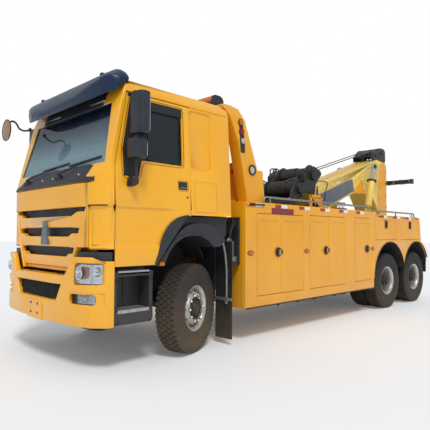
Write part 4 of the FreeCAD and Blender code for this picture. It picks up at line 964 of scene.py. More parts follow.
def line_inside(thing, second, inside):
    """Give the faces for which inside(centre, normal) is true a second material."""
    thing.data.materials.append(second)
    for face in thing.data.polygons:
        centre = face.center - Vector((AXLE_X, 0, 0))
        if inside(centre, face.normal):
            face.material_index = 1


print("cab tools ready")

# %% [markdown]
# ## Cab shell, roof and corner panels
# The pressed shell is taken from the CAD, with its edges rounded and its inner faces turned into
# grey lining. Below the waist crease the corner panels are pressed in by a centimetre.

# %% Cab shell
CREASES = (1.352, 1.372, 1.782, 1.8)
CAB_MIDDLE = Vector((0.25, 0, 2.3))


def press_in(bm, chosen, depth):
    """Press the band between the creases inwards, away from the edges of the panel."""
    cut_across(bm, "z", CREASES)
    for vert in bm.verts:
        if CREASES[1] - 0.001 < vert.co.z < CREASES[2] + 0.001 and chosen(vert.co):
            side = math.copysign(1, vert.co.y)
            inwards = (Vector((0.75, 0.6 * side, vert.co.z)) - vert.co).normalized()
            vert.co += inwards * depth


# the cab's front corner seen from above, from the edge of the grille lid to the front of the door
CORNER_BAND = ((1.3595, 0.935), (1.349, 1.003), (1.264, 1.16), (1.24, 1.176), (1.23, 1.16), (1.25, 1.146),
    (1.335, 0.992), (1.3455, 0.935))


def in_cab(centre, normal):
    """Whether a face of the shell looks into the cab."""
    reach = 1.17 if centre.x > 0.1 else 1.136
    within = -0.62 < centre.x < 1.3 and abs(centre.y) < reach and 1.75 < centre.z < 3.29
    return within and normal.dot(CAB_MIDDLE - centre) > 0.15


def cab_shell():
    """The shell, with its lining and the fittings on it."""
    bm = cad_copy("cab_shell", whole_faces=False)
    press_in(bm, lambda place: place.x > 1.2 and abs(place.y) > 0.98, 0.02)
    shell = piece("cab_shell_pressed", bm, "cab", CAB_ENAMEL, replaces=("cab_shell",), bevel=0.012, segments=3,
        angle=28, outward=False)
    line_inside(shell, CAB_TRIM, in_cab)
    bm = bmesh.new()
    box(bm, (-0.6, 1.146, 3.104), (1.02, 1.16, 3.12))
    hatch = rounded(rectangle((-0.378, 1.772), (0.018, 2.163)), 0.05)
    leaf = bmesh.new()
    prism(leaf, grown(hatch, -0.006), "xz", -0.004, 0.004)
    lean_side(leaf)
    set_out(bm, leaf)
    both(bm)
    piece("cab_gutters_and_hatches", bm, "cab", CAB_ENAMEL, bevel=0.003)
    bm = bmesh.new()
    ring(bm, hatch, 0.006, "xz", -0.004, 0.002)
    lean_side(bm)
    # A black strip at the crease under the grille lid's corner: the seam there, widened into a painted shadow of the
    # lid's overhang.
    prism(bm, CORNER_BAND, "xy", 1.8, 1.812)
    both(bm)
    piece("cab_hatch_seams_and_crease_shadow", bm, "cab", RUBBER)


cab_shell()
print("cab shell made")

# %% [markdown]
# ## Grille lid
# The lid is one broad panel over three deep slats. Each slat has raised ears at its ends and a
# face folded along its middle; the openings between them show a dark back plate.

# %% Lid, slats and boss
def grille():
    """The lid in body colour, the dark plate behind it and a plain boss."""
    bm = bmesh.new()
    prism(bm, whole(((0.955, 2.06), (0.955, 1.348), (0.775, 1.348), (0.64, 1.064), (0.606, 1.064), (0.925, 1.796))),
        "yz", 1.325, 1.393)
    prism(bm, whole(((0.64, 1.107), (0.618, 1.064))), "yz", 1.315, 1.345)
    slats = (((0.655, 1.7), (0.77, 1.744), (0.909, 1.744), (0.829, 1.557), (0.62, 1.57)),
        ((0.586, 1.465), (0.663, 1.502), (0.804, 1.502), (0.733, 1.335), (0.56, 1.346)),
        ((0.54, 1.236), (0.6, 1.272), (0.704, 1.272), (0.633, 1.105), (0.5, 1.112)))
    for half in slats:
        made = prism(bm, whole(half), "yz", 1.322, 1.389)
        top, low = half[0][1], half[-1][1]
        for vert in made:
            if vert.co.x > 1.38:
                vert.co.x += 0.004 - 0.03 * max(0.0, (top + low) / 2 + 0.02 - vert.co.z) / (top - low)
    bend_front(bm)
    band = bmesh.new()
    prism(band, CORNER_BAND, "xy", 1.814, 2.058)
    both(band)
    piece("grille_lid_corners", band, "grille_lid", CAB_ENAMEL, bevel=0.005, segments=3)
    piece("grille_lid", bm, "grille_lid", CAB_ENAMEL, replaces=("front_panel",), bevel=0.009, segments=3, angle=25)
    bm = bmesh.new()
    prism(bm, whole(((0.93, 1.8), (0.612, 1.066))), "yz", 1.287, 1.3)
    for z in (1.768, 1.52, 1.288):
        for step in (-1, 0, 1):
            box(bm, (1.298, -0.62, z + 0.022 * step - 0.004), (1.312, 0.62, z + 0.022 * step + 0.004))
    bend_front(bm)
    piece("grille_back_plate", bm, "grille_lid", BLACK_PLASTIC)
    bm = bmesh.new()
    prism(bm, rounded([(-0.095, 1.365), (0.095, 1.365), (0.07, 1.5), (0.035, 1.655), (-0.035, 1.655), (-0.07, 1.5)],
        0.02), "yz", 1.36, 1.408)
    piece("grille_boss", bm, "grille_lid", GREY_SHEET, bevel=0.006, segments=3)


grille()
print("grille made")

# %% [markdown]
# ## Windscreen, cowl and wipers
# The screen leans back, with a rubber seal round it and a black panel above it. The black cowl
# below it carries two wipers, parked along the bottom of the glass.

# %% Screen and cowl
SCREEN = whole(((1.085, 2.29), (0.955, 2.995)))
SCREEN_FOOT, SCREEN_LEAN = 2.27, 0.2284


def lean_screen(bm):
    """Lean what is drawn upright at x = 0 into the plane of the windscreen."""
    for vert in bm.verts:
        vert.co.x += 1.222 - (vert.co.z - SCREEN_FOOT) * SCREEN_LEAN


def front_screen():
    """Glass, seal, header, cowl and wipers."""
    bm = cad_copy("windscreen")
    piece("windscreen_glass", bm, "cab", SCREEN_GLASS_PAINTED_SKY_AND_SHADE, replaces=("windscreen",), outward=False)
    bm = bmesh.new()
    ring(bm, rounded(grown(SCREEN, 0.026), 0.07), 0.05, "yz", -0.012, 0.013)
    lean_screen(bm)
    piece("windscreen_seal", bm, "cab", RUBBER, bevel=0.005)
    bm = bmesh.new()
    prism(bm, ((1.086, 3.0), (0.991, 3.268), (0.97, 3.262), (1.064, 2.996)), "xz", -1.04, 1.04)
    prism(bm, ((1.392, 2.068), (1.403, 2.082), (1.392, 2.11), (1.262, 2.272), (1.24, 2.292), (1.215, 2.292),
        (1.236, 2.262), (1.375, 2.078)), "xz", -1.035, 1.035)
    bend_front(bm)
    piece("cowl_and_header", bm, "cab", BLACK_PLASTIC, bevel=0.006, segments=3)
    bm = bmesh.new()
    for pivot, tip, reach in ((-0.62, -0.1, 0.34), (0.28, 0.62, 0.36)):
        drum(bm, (1.345, pivot, 2.175), (0.62, 0, 0.78), 0.034, 0.05, 20, 0.024)
        drum(bm, (1.366, pivot, 2.202), (0.62, 0, 0.78), 0.016, 0.03, 16)
        box(bm, (1.33, pivot - 0.07, 2.13), (1.378, pivot + 0.07, 2.17))
        pipe(bm, ((1.368, pivot, 2.208), (1.33, pivot + 0.12, 2.245), (1.262, (pivot + tip) / 2 + 0.06, 2.3),
            (1.24, tip, 2.33)), 0.008, 2)
        made = box(bm, (-0.002, tip - reach, 2.326), (0.014, tip + reach, 2.35))
        made += box(bm, (-0.012, tip - reach, 2.333), (0.0, tip + reach, 2.341))
        for vert in made:
            vert.co.z += 0.05 * (vert.co.y - tip)
            vert.co.x += 1.229 - (vert.co.z - SCREEN_FOOT) * SCREEN_LEAN
    piece("wipers", bm, "cab", RUBBER, bevel=0.002)
    bm = bmesh.new()
    for across in (-0.18, 0.1, 0.74):
        drum(bm, (1.352, across, 2.168), (0.62, 0, 0.78), 0.012, 0.02, 14)
    piece("washer_nozzles", bm, "cab", BRIGHT_METAL, bevel=0.002)


front_screen()
print("windscreen made")

# %% [markdown]
# ## Sun visor and round mirror
# The visor is a deep acrylic moulding with rolled ends, held by two knobs. The round mirror is a
# shallow convex dish on a bent arm at the right-hand corner, so the driver sees the bumper.

# %% Visor and front mirror
ROUND_MIRROR = (1.525, -0.95, 2.905)


def visor():
    """The visor with its two knobs, and the round mirror on its arm."""
    bm = cad_copy("sun_visor")
    cut_across(bm, "z", (3.12, 3.17, 3.22, 3.27, 3.32))
    cut_across(bm, "y", [side * place for side in (-1, 1) for place in (0.93, 0.98, 1.03, 1.07, 1.1, 1.12, 1.132)])
    for vert in bm.verts:
        rise = min(1.0, max(0.0, (vert.co.z - 3.06) / 0.33))
        swell = 0.035 * math.sin(math.pi * rise)
        vert.co.x += swell * 0.75
        vert.co.z += swell * 0.66
        end = min(1.0, max(0.0, (abs(vert.co.y) - 0.92) / 0.235))
        vert.co.z -= (vert.co.z - 3.02) * (1 - math.sqrt(1 - end * end)) * 0.55
    piece("visor_moulding", bm, "cab", VISOR_ACRYLIC, replaces=("sun_visor",), bevel=0.006, segments=3, angle=62,
        outward=False)
    bm = bmesh.new()
    for across in (-0.78, 0.78):
        drum(bm, (1.098, across, 3.352), (0.75, 0, 0.66), 0.036, 0.03, 20, 0.028)
        drum(bm, (1.108, across, 3.361), (0.75, 0, 0.66), 0.022, 0.03, 16, 0.018)
        box(bm, (1.055, across - 0.07, 3.352), (1.085, across + 0.07, 3.372))
    piece("visor_knobs", bm, "cab", RUBBER, bevel=0.003)
    bm = bmesh.new()
    pipe(bm, ((1.17, -1.02, 2.985), (1.235, -1.01, 2.955), (1.33, -0.995, 2.96), (1.395, -0.985, 3.035),
        (1.455, -0.965, 3.045), (1.5, -0.955, 2.985), (1.508, -0.95, 2.93)), 0.0125, 4)
    drum(bm, (1.522, -0.95, 2.925), "x", 0.045, 0.035, 24, 0.03)
    drum(bm, (1.18, -1.02, 2.98), (1, 0, 0.3), 0.028, 0.03, 20)
    spun(bm, ((-0.006, 0.0), (-0.006, 0.143), (0.002, 0.149), (0.01, 0.149), (0.012, 0.143), (0.006, 0.138),
        (0.004, 0.0)), ROUND_MIRROR, "x", steps=48, closed=False)
    piece("round_mirror_arm", bm, "cab", MIRROR_PLASTIC, replaces=("front_mirror",), bevel=0.002)
    bm = bmesh.new()
    spun(bm, ((0.004, 0.139), (0.013, 0.11), (0.018, 0.07), (0.02, 0.0)), ROUND_MIRROR, "x", steps=48, closed=False)
    piece("round_mirror_glass", bm, "cab", BRONZE_MIRROR)


visor()
print("visor made")

# %% [markdown]
# ## Doors
# Each door keeps its CAD skin and window opening. It gets the crease below the waist, a wide
# black surround for the glass, a thin grey frame round the sliding pane, and a pull handle.

# %% Doors and their glass
WINDOW = ((0.207, 2.335), (0.815, 2.335), (0.862, 2.14), (1.058, 2.14), (1.07, 2.44), (0.958, 3.04), (0.207, 3.04))
# the dark moulding on the lower rear corner of the door, between its slanted edge and a curve
ARCH_CLADDING = ((0.618, 1.15), (0.118, 1.736), (0.2, 1.726), (0.302, 1.697), (0.39, 1.645), (0.461, 1.578),
    (0.52, 1.49), (0.56, 1.39), (0.59, 1.27), (0.64, 1.15))
PANE = ((0.232, 2.352), (0.73, 2.352), (0.73, 2.94), (0.232, 2.94))


def doors():
    """Skins, seals, glass, pane frames and handles of both doors."""
    for side, sign in SIDES:
        body = f"cab_door_{side}"
        bm = cad_copy(f"door_{side}")
        cut_across(bm, "x", (0.2, 0.3, 0.4, 0.52))
        cut_across(bm, "z", CREASES)
        for vert in bm.verts:
            if CREASES[1] - 0.001 < vert.co.z < CREASES[2] + 0.001 and abs(vert.co.y) > 1.2:
                vert.co.y -= sign * 0.02 * min(1.0, max(0.0, (vert.co.x - 0.2) / 0.32))
        door = piece(f"door_skin_{side}", bm, body, CAB_ENAMEL, replaces=(f"door_{side}",), bevel=0.006, segments=3,
            angle=30, outward=False)
        line_inside(door, CAB_TRIM, lambda centre, normal, sign=sign: normal.y * sign < -0.5)
        bm = bmesh.new()
        ring(bm, rounded(grown(WINDOW, 0.022), 0.06), 0.04, "xz", -0.03, 0.008)
        prism(bm, rounded([(0.205, 2.935), (0.975, 2.935), (0.955, 3.045), (0.205, 3.045)], 0.02), "xz", -0.02, 0.004)
        prism(bm, rounded([(0.745, 2.15), (1.05, 2.15), (1.062, 2.44), (0.962, 3.0), (0.745, 3.0)], 0.02), "xz",
            -0.02, -0.008)
        ring(bm, ((1.168, 1.146), (0.615, 1.146), (0.112, 1.741), (0.088, 1.741), (0.088, 3.092), (0.996, 3.092),
            (1.01, 2.998), (1.16, 2.248)), 0.008, "xz", -0.045, -0.012)
        lean_side(bm)
        flip(bm, sign)
        piece(f"door_seals_{side}", bm, body, RUBBER, bevel=0.003)
        bm = bmesh.new()
        prism(bm, ARCH_CLADDING, "xz", -0.004, 0.008)
        lean_side(bm)
        flip(bm, sign)
        piece(f"door_arch_cladding_{side}", bm, body, BLACK_PLASTIC, bevel=0.004, segments=3)
        bm = bmesh.new()
        ring(bm, rounded(PANE, 0.05), 0.014, "xz", -0.012, 0.006)
        lean_side(bm)
        flip(bm, sign)
        piece(f"pane_frame_{side}", bm, body, RAIL_ZINC, bevel=0.002)
        piece(f"door_pane_{side}", cad_copy(f"door_glass_{side}"), body, WINDOW_GLASS,
            replaces=(f"door_glass_{side}",), outward=False)
        bm = bmesh.new()
        ring(bm, rounded(rectangle((0.126, 2.03), (0.284, 2.15)), 0.018), 0.016, "xz", -0.006, 0.006)
        box(bm, (0.136, -0.006, 2.04), (0.274, 0.0015, 2.14))
        prism(bm, ((0.145, 2.055), (0.265, 2.055), (0.265, 2.112), (0.145, 2.112)), "xz", 0.0, 0.009)
        drum(bm, (0.136, 0.001, 1.952), "y", 0.016, 0.008, 20)
        lean_side(bm)
        flip(bm, sign)
        piece(f"door_handle_{side}", bm, body, BLACK_PLASTIC, bevel=0.003)
        bm = bmesh.new()
        drum(bm, (0.136, 0.004, 1.952), "y", 0.008, 0.008, 16)
        prism(bm, ((0.152, 2.062), (0.258, 2.062), (0.258, 2.068), (0.152, 2.068)), "xz", 0.009, 0.011)
        lean_side(bm)
        flip(bm, sign)
        piece(f"door_lock_{side}", bm, body, BRIGHT_METAL)


doors()
print("doors made")

# %% [markdown]
# ## Mirrors
# A tall main mirror and a small wide-angle one share a post on a boot-shaped foot. From the
# front only their smooth backs show; the silvered faces look rearwards.

# %% Mirrors
def mirrors():
    """Heads, post, foot and glass on both sides."""
    for side, sign in SIDES:
        body = f"cab_door_{side}"
        bm = bmesh.new()
        head = rounded([(0.866, 1.25), (1.004, 1.238), (1.032, 1.266), (1.026, 1.41), (0.99, 1.457), (0.884, 1.445)],
            0.035, 5)
        prism(bm, head, "xy", 2.592, 3.062)
        small = rounded([(0.888, 1.246), (1.056, 1.24), (1.078, 1.29), (1.07, 1.425), (0.915, 1.44)], 0.03, 5)
        prism(bm, small, "xy", 2.325, 2.535)
        flip(bm, sign)
        piece(f"mirror_heads_{side}", bm, body, MIRROR_PLASTIC, replaces=(f"mirror_{side}",), bevel=0.018, segments=5,
            angle=40)
        bm = bmesh.new()
        pipe(bm, ((0.985, 1.322, 2.1), (0.985, 1.322, 3.05)), 0.014, 4, smooth=False)
        pipe(bm, ((0.985, 1.322, 3.06), (0.978, 1.29, 3.075), (0.97, 1.2, 3.078), (0.97, 1.153, 3.074)), 0.014, 4)
        for height in (2.57, 2.555, 2.312, 2.295):
            drum(bm, (0.985, 1.322, height), "z", 0.024, 0.022, 20)
        prism(bm, rounded([(0.955, 2.02), (1.03, 2.02), (1.03, 2.085), (1.0, 2.145), (0.965, 2.15)], 0.02), "xz",
            1.208, 1.232)
        prism(bm, rounded([(1.206, 2.022), (1.3, 2.03), (1.345, 2.048), (1.345, 2.11), (1.3, 2.12), (1.206, 2.085)],
            0.02), "yz", 0.962, 1.008)
        for place, height in ((0.975, 2.04), (1.012, 2.04), (0.985, 2.125)):
            bolt(bm, (place, 1.232, height), "y", 0.008)
        box(bm, (0.945, 1.15, 3.052), (0.995, 1.164, 3.088))
        flip(bm, sign)
        piece(f"mirror_post_{side}", bm, body, BLACK_PLASTIC, bevel=0.004, segments=3)
        bm = bmesh.new()
        prism(bm, rounded([(1.275, 2.625), (1.425, 2.625), (1.425, 3.03), (1.275, 3.03)], 0.03, 5), "yz", 0.861,
            0.869)
        prism(bm, rounded([(1.275, 2.348), (1.415, 2.348), (1.415, 2.512), (1.275, 2.512)], 0.03, 5), "yz", 0.886,
            0.894)
        for vert in bm.verts:
            vert.co.x += 0.09 * (vert.co.y - 1.3) + 0.004
        flip(bm, sign)
        piece(f"mirror_faces_{side}", bm, body, MIRROR_SILVER, bevel=0.002)


mirrors()
print("mirrors made")

# %% [markdown]
# ## Inside the cab
# What shows through the glass: a moulded dashboard with an instrument hood, a large steering
# wheel, two sprung seats with bolsters, a bunk with its mattress, and the lining of the roof.

# %% Cushions
def cushion(bm, low, high, crown):
    """A crowned cushion: a finely divided box with a swollen middle and soft corners."""
    made = box(bm, low, high)
    edges = {edge for vert in made for edge in vert.link_edges}
    bmesh.ops.subdivide_edges(bm, edges=list(edges), cuts=4, use_grid_fill=True)
    low, high = Vector(low), Vector(high)
    middle, half = (low + high) / 2, (high - low) / 2
    for vert in bm.verts:
        share = [(vert.co[axis] - middle[axis]) / half[axis] for axis in range(3)]
        if max(abs(value) for value in share) > 1.02:
            continue
        for axis in range(3):
            others = [abs(share[other]) for other in range(3) if other != axis]
            fullness = (1 - others[0] ** 2) * (1 - others[1] ** 2)
            if abs(share[axis]) > 0.98:
                vert.co[axis] -= math.copysign(crown * (1 - fullness), share[axis])


def soft_piece(name, low, high, crown, material, lean=0.0, hinge=(0, 0, 0)):
    """One cushion as a piece of its own, smoothed."""
    bm = bmesh.new()
    cushion(bm, low, high, crown)
    if lean:
        bmesh.ops.rotate(bm, verts=bm.verts, cent=hinge, matrix=Matrix.Rotation(math.radians(lean), 3, "Y"))
    thing = piece(name, bm, "cab", material, angle=70)
    rounding = thing.modifiers.new("soft", "SUBSURF")
    rounding.levels = rounding.render_levels = 1
    return thing


print("cushion tools ready")

# %% Seats, bunk, dashboard and steering wheel
def cab_inside():
    """Seats, bunk, dashboard, steering wheel and lining."""
    for name, middle in (("driver", 0.52), ("passenger", -0.52)):
        left, right = middle - 0.235, middle + 0.235
        soft_piece(f"{name}_seat", (-0.055, left, 1.935), (0.435, right, 2.05), 0.03, SEAT_CLOTH)
        soft_piece(f"{name}_backrest", (-0.1, left + 0.02, 2.045), (0.02, right - 0.02, 2.62), 0.03, SEAT_CLOTH, -8,
            (0, 0, 2.045))
        soft_piece(f"{name}_headrest", (-0.12, middle - 0.12, 2.63), (-0.03, middle + 0.12, 2.79), 0.02, SEAT_CLOTH)
        bm = bmesh.new()
        prism(bm, ((-0.02, 1.785), (0.1, 1.785), (0.13, 1.9), (0.4, 1.935), (-0.03, 1.935)), "xz", left + 0.04,
            right - 0.04)
        for across in (left - 0.005, right - 0.025):
            box(bm, (-0.03, across, 2.18), (0.22, across + 0.03, 2.215))
        piece(f"{name}_seat_base", bm, "cab", CAB_TRIM, bevel=0.01)
    soft_piece("bunk_mattress", (-0.59, -1.08, 1.985), (-0.235, 1.08, 2.115), 0.025, BUNK_CLOTH)
    bm = bmesh.new()
    box(bm, (-0.59, -1.085, 1.785), (-0.24, 1.085, 1.985))
    prism(bm, ((1.19, 1.85), (1.19, 2.212), (1.15, 2.225), (1.06, 2.21), (0.99, 2.195), (0.955, 2.12), (1.04, 1.85)),
        "xz", -1.08, 1.08)
    prism(bm, ((1.07, 2.19), (0.985, 2.235), (0.965, 2.225), (0.965, 2.12), (1.06, 2.12)), "xz", 0.26, 0.8)
    prism(bm, ((1.06, 1.85), (0.86, 1.85), (0.93, 2.13), (1.0, 2.18)), "xz", -0.22, 0.2)
    piece("dashboard", bm, "cab", CAB_TRIM, replaces=("cab_interior",), bevel=0.014, segments=3)
    bm = bmesh.new()
    turn = Matrix.Rotation(math.radians(-28), 3, "Y")
    hub = Vector((0.72, 0.52, 2.195))
    spun(bm, [(0.014 * math.sin(math.tau * n / 10), 0.235 + 0.014 * math.cos(math.tau * n / 10)) for n in range(10)],
        (0, 0, 0), "z", steps=48, start=(1, 0, 0))
    for angle in (0, 180, 250, 290):
        made = box(bm, (0.03, -0.014, -0.01), (0.232, 0.014, 0.004))
        bmesh.ops.rotate(bm, verts=made, matrix=Matrix.Rotation(math.radians(angle + 90), 3, "Z"))
    drum(bm, (0, 0, 0.0), "z", 0.062, 0.045, 28, 0.045)
    bmesh.ops.rotate(bm, verts=bm.verts, matrix=turn)
    bmesh.ops.translate(bm, verts=bm.verts, vec=hub)
    pipe(bm, (hub, (0.88, 0.52, 2.05), (1.02, 0.52, 1.93)), 0.026, 4, smooth=False)
    for number in range(3):
        pipe(bm, ((0.6 + 0.1 * number, 0.28, 1.8), (0.58 + 0.1 * number, 0.29, 1.98)), 0.01, 3, smooth=False)
        drum(bm, (0.58 + 0.1 * number, 0.29, 2.0), "z", 0.022, 0.05, 16, 0.016)
    piece("steering_wheel_and_levers", bm, "cab", BLACK_PLASTIC)
    bm = bmesh.new()
    for across in (-0.55, 0.55):
        prism(bm, rounded([(1.06, across - 0.26), (1.08, across + 0.26), (0.93, across + 0.26),
            (0.93, across - 0.26)], 0.03), "xy", 3.045, 3.062)
    box(bm, (0.86, -1.0, 3.08), (1.02, 1.0, 3.2))
    piece("sun_blinds_and_shelf", bm, "cab", BUNK_CLOTH, bevel=0.006)


cab_inside()
print("cab furnished")

# %% [markdown]
# ## Bumper
# The bumper is one deep moulding with rooms for the headlamps, the fog lamps and the intake. Its
# CAD shape gets soft edges; the lamps, mesh and number plate carrier are added to it.

# %% Bumper and its mesh
def bumper():
    """The painted bumper, its dark inner parts and the intake mesh."""
    bm = cad_copy("bumper")
    cut_across(bm, "z", (1.085, 1.105))
    for vert in bm.verts:
        if vert.co.z > 1.195 and vert.co.x > 1.3:
            vert.co.z += 0.045
        if vert.co.z < 1.095 and vert.co.x < 1.23:
            vert.co.x -= 0.036
    moulding = piece("bumper_moulding", bm, "chassis", CAB_ENAMEL, replaces=("bumper",), bevel=0.014, segments=3,
        angle=26, outward=False)
    line_inside(moulding, BLACK_PLASTIC, lambda centre, normal: centre.x < 1.428 and abs(centre.y) < 0.76)
    bm = bmesh.new()
    path = [(1.375, 0.78), (1.36, 0.9), (1.33, 1.02), (1.29, 1.09), (1.238, 1.15), (1.18, 1.178)]
    prism(bm, path + [(x - 0.05, y - 0.05) for x, y in reversed(path)], "xy", 1.15, 1.3)
    both(bm)
    box(bm, (1.425, -0.66, 0.735), (1.433, 0.66, 1.028))
    box(bm, (1.3, -1.05, 0.52), (1.39, 1.05, 0.56))
    piece("bumper_inner_plastic", bm, "chassis", BLACK_PLASTIC)
    bm = bmesh.new()
    for number in range(-15, 16):
        box(bm, (1.436, number * 0.036 - 0.0035, 0.74), (1.442, number * 0.036 + 0.0035, 0.94))
    for number in range(6):
        box(bm, (1.433, -0.6, 0.75 + number * 0.034), (1.439, 0.6, 0.757 + number * 0.034))
    piece("intake_mesh", bm, "chassis", RUBBER)
    bm = bmesh.new()
    prism(bm, rounded([(-0.19, 0.49), (0.19, 0.49), (0.19, 0.712), (-0.19, 0.712)], 0.02), "yz", 1.47, 1.51)
    box(bm, (1.335, -0.64, 1.01), (1.44, 0.64, 1.0295))
    column = bmesh.new()
    prism(column, [(1.176, 1.226), (1.238, 1.225), (1.276, 1.209), (1.284, 1.15), (1.176, 1.16)], "xy", 0.502, 1.205)
    both(column)
    piece("bumper_side_ends", column, "chassis", CAB_ENAMEL, bevel=0.008, segments=3)
    piece("plate_carrier", bm, "chassis", CAB_ENAMEL, bevel=0.005)
    bm = bmesh.new()
    for across in (-0.09, 0.09):
        for height in (0.56, 0.67):
            drum(bm, (1.51, across, height), "x", 0.016, 0.006, 20)
    piece("plate_screws", bm, "chassis", RUBBER)


bumper()
print("bumper made")

# %% [markdown]
# ## Lamps at the front
# A headlamp is a chrome bowl, a bulb and a clear moulded cover that follows the corner of the
# bumper. The fog lamp below it is a ribbed lens in a dark frame.

# %% Following the bumper's corner
CORNER = ((1.494, 0.42), (1.486, 0.6), (1.468, 0.78), (1.436, 0.93), (1.388, 1.062), (1.33, 1.145), (1.262, 1.196))


def corner_point(across, inset):
    """A point on the bumper's corner at a distance from the middle, moved inwards by an inset."""
    across = min(max(across, CORNER[0][1]), CORNER[-1][1])
    for (x0, y0), (x1, y1) in zip(CORNER, CORNER[1:]):
        if y0 <= across <= y1:
            out = Vector((y1 - y0, x0 - x1)).normalized()
            return x0 + (x1 - x0) * (across - y0) / (y1 - y0) - out.x * inset, across - out.y * inset


def along_corner(first, last, inset):
    """Nine points on the bumper's corner between two distances from the middle."""
    return [corner_point(first + (last - first) * step / 8, inset) for step in range(9)]


def surround(bm, outer, inner, low, high):
    """A plate between two outlines with equally many corners, bent round the bumper's corner."""
    edges = []
    for outline in (outer, inner):
        verts = [bm.verts.new((low, *corner)) for corner in outline]
        edges += [bm.edges.new(ends) for ends in zip(verts, verts[1:] + verts[:1])]
    faces = bmesh.ops.bridge_loops(bm, edges=edges)["faces"]
    made = bmesh.ops.extrude_face_region(bm, geom=faces)["geom"]
    bmesh.ops.translate(bm, verts=[part for part in made if isinstance(part, bmesh.types.BMVert)],
        vec=(high - low, 0, 0))
    cut_across(bm, "y", (0.93, 0.99, 1.03, 1.062, 1.1, 1.145))
    for vert in bm.verts:
        vert.co.x, vert.co.y = corner_point(vert.co.y, -vert.co.x)


def corner_wall(bm, first, last, inset, thickness, low, high):
    """An upright wall that follows the corner of the bumper."""
    outer = along_corner(first, last, inset)
    inner = along_corner(first, last, inset + thickness)
    return prism(bm, outer + list(reversed(inner)), "xy", low, high)


def reflector(bm, x, across, height, radius, depth):
    """A parabolic bowl that looks forwards."""
    profile = [(x - depth + depth * (step / 6) ** 2, radius * step / 6) for step in range(7)]
    profile += [(x + 0.004, radius), (x + 0.004, radius + 0.006), (x - 0.004, radius + 0.006)]
    spun(bm, [(along - x, r) for along, r in profile], (x, across, height), "x", steps=32, closed=False)


print("corner tools ready")

# %% Headlamps and fog lamps
def front_lamps():
    """Headlamps and fog lamps of both sides."""
    for name, outer, inner in (
            ("headlamp", ((0.832, 0.942), (1.194, 0.942), (1.194, 1.186), (0.832, 1.186)),
             ((0.838, 0.948), (1.189, 0.958), (1.186, 1.181), (0.866, 1.181))),
            ("fog_lamp", ((0.764, 0.724), (1.194, 0.724), (1.194, 0.862), (0.764, 0.862)),
             ((0.786, 0.740), (1.128, 0.740), (1.128, 0.850), (0.786, 0.850)))):
        bm = bmesh.new()
        surround(bm, rounded(outer, 0.004, 5), rounded(inner, 0.04, 5), -0.028, 0.0008)
        both(bm)
        piece(f"{name}_surrounds", bm, "chassis", CAB_ENAMEL, bevel=0.003)
    bm = bmesh.new()
    corner_wall(bm, 0.85, 1.185, 0.03, 0.024, 0.95, 0.96)
    corner_wall(bm, 0.85, 1.185, 0.03, 0.024, 1.168, 1.178)
    corner_wall(bm, 0.77, 1.14, 0.045, 0.01, 0.73, 0.858)
    both(bm)
    piece("lamp_housings", bm, "chassis", BLACK_PLASTIC)
    bm = bmesh.new()
    corner_wall(bm, 0.85, 1.185, 0.046, 0.006, 0.955, 1.172)
    reflector(bm, 1.44, 0.934, 1.074, 0.064, 0.03)
    reflector(bm, 1.322, 1.106, 1.088, 0.046, 0.026)
    for height in (0.985, 1.0, 1.015, 1.145, 1.158):
        corner_wall(bm, 0.862, 1.165, 0.03, 0.012, height - 0.003, height + 0.003)
    corner_wall(bm, 1.062, 1.07, 0.018, 0.03, 0.965, 1.165)
    corner_wall(bm, 0.905, 1.112, 0.034, 0.008, 0.75, 0.842)
    both(bm)
    piece("lamp_reflectors", bm, "chassis", CHROME_PAINT)
    bm = bmesh.new()
    corner_wall(bm, 0.988, 1.056, 0.022, 0.01, 1.06, 1.135)
    both(bm)
    piece("front_indicators", bm, "chassis", AMBER_LENS)
    bm = bmesh.new()
    for x, across, height in ((1.436, 0.934, 1.074), (1.318, 1.106, 1.088), (1.4, 1.0, 0.795)):
        drum(bm, (x, across, height), "x", 0.011, 0.028, 16, 0.007)
    both(bm)
    piece("lamp_bulbs", bm, "chassis", WHITE_LENS, bevel=0.002)
    bm = bmesh.new()
    corner_wall(bm, 0.846, 1.19, 0.007, 0.004, 0.952, 1.176)
    corner_wall(bm, 0.898, 1.118, 0.014, 0.005, 0.746, 0.846)
    both(bm)
    piece("lamp_covers", bm, "chassis", CLEAR_LENS)
    bm = bmesh.new()
    for number in range(15):
        across = 0.908 + number * 0.0135
        corner_wall(bm, across, across + 0.004, 0.02, 0.006, 0.75, 0.842)
    both(bm)
    piece("fog_lamp_ribs", bm, "chassis", WHITE_LENS)


front_lamps()
print("front lamps made")

# %% [markdown]
# ## Fenders, steps and flaps
# The fender is a thick moulded arch with a lip round the wheel. In front of it hangs the step
# box, which has two rolled alloy treads. A mud flap hangs behind each front wheel, and a
# guard with a flap closes the space behind the last axle.

# %% Fenders, steps and flaps
FENDER_MIDDLE = (0.02, 1.01)
BODY_HALF = 1.248


def arc(centre, radius, first, last, steps=16):
    """Points on an arc between two angles in degrees."""
    angles = [math.radians(first + (last - first) * step / steps) for step in range(steps + 1)]
    return [(centre[0] + radius * math.cos(angle), centre[1] + radius * math.sin(angle)) for angle in angles]


def checker(bm, low, high, top, pitch=0.05, bar=0.026):
    """Raised bars of a tread plate, set crosswise in turn over a rectangle in x and y."""
    columns, rows = int((high[0] - low[0]) / pitch), int((high[1] - low[1]) / pitch)
    for first, turn in enumerate((45, -45)):
        cell = bmesh.new()
        for row in range(rows):
            made = box(cell, (-bar / 2, -0.003, -0.001), (bar / 2, 0.003, 0.0022))
            bmesh.ops.rotate(cell, verts=made, matrix=Matrix.Rotation(math.radians(turn * (-1) ** row), 3, "Z"))
            bmesh.ops.translate(cell, verts=made, vec=(0, pitch * (row + 0.5), 0))
        set_out(bm, cell, [(low[0] + pitch * (column + 0.5), low[1], top) for column in range(first, columns, 2)])


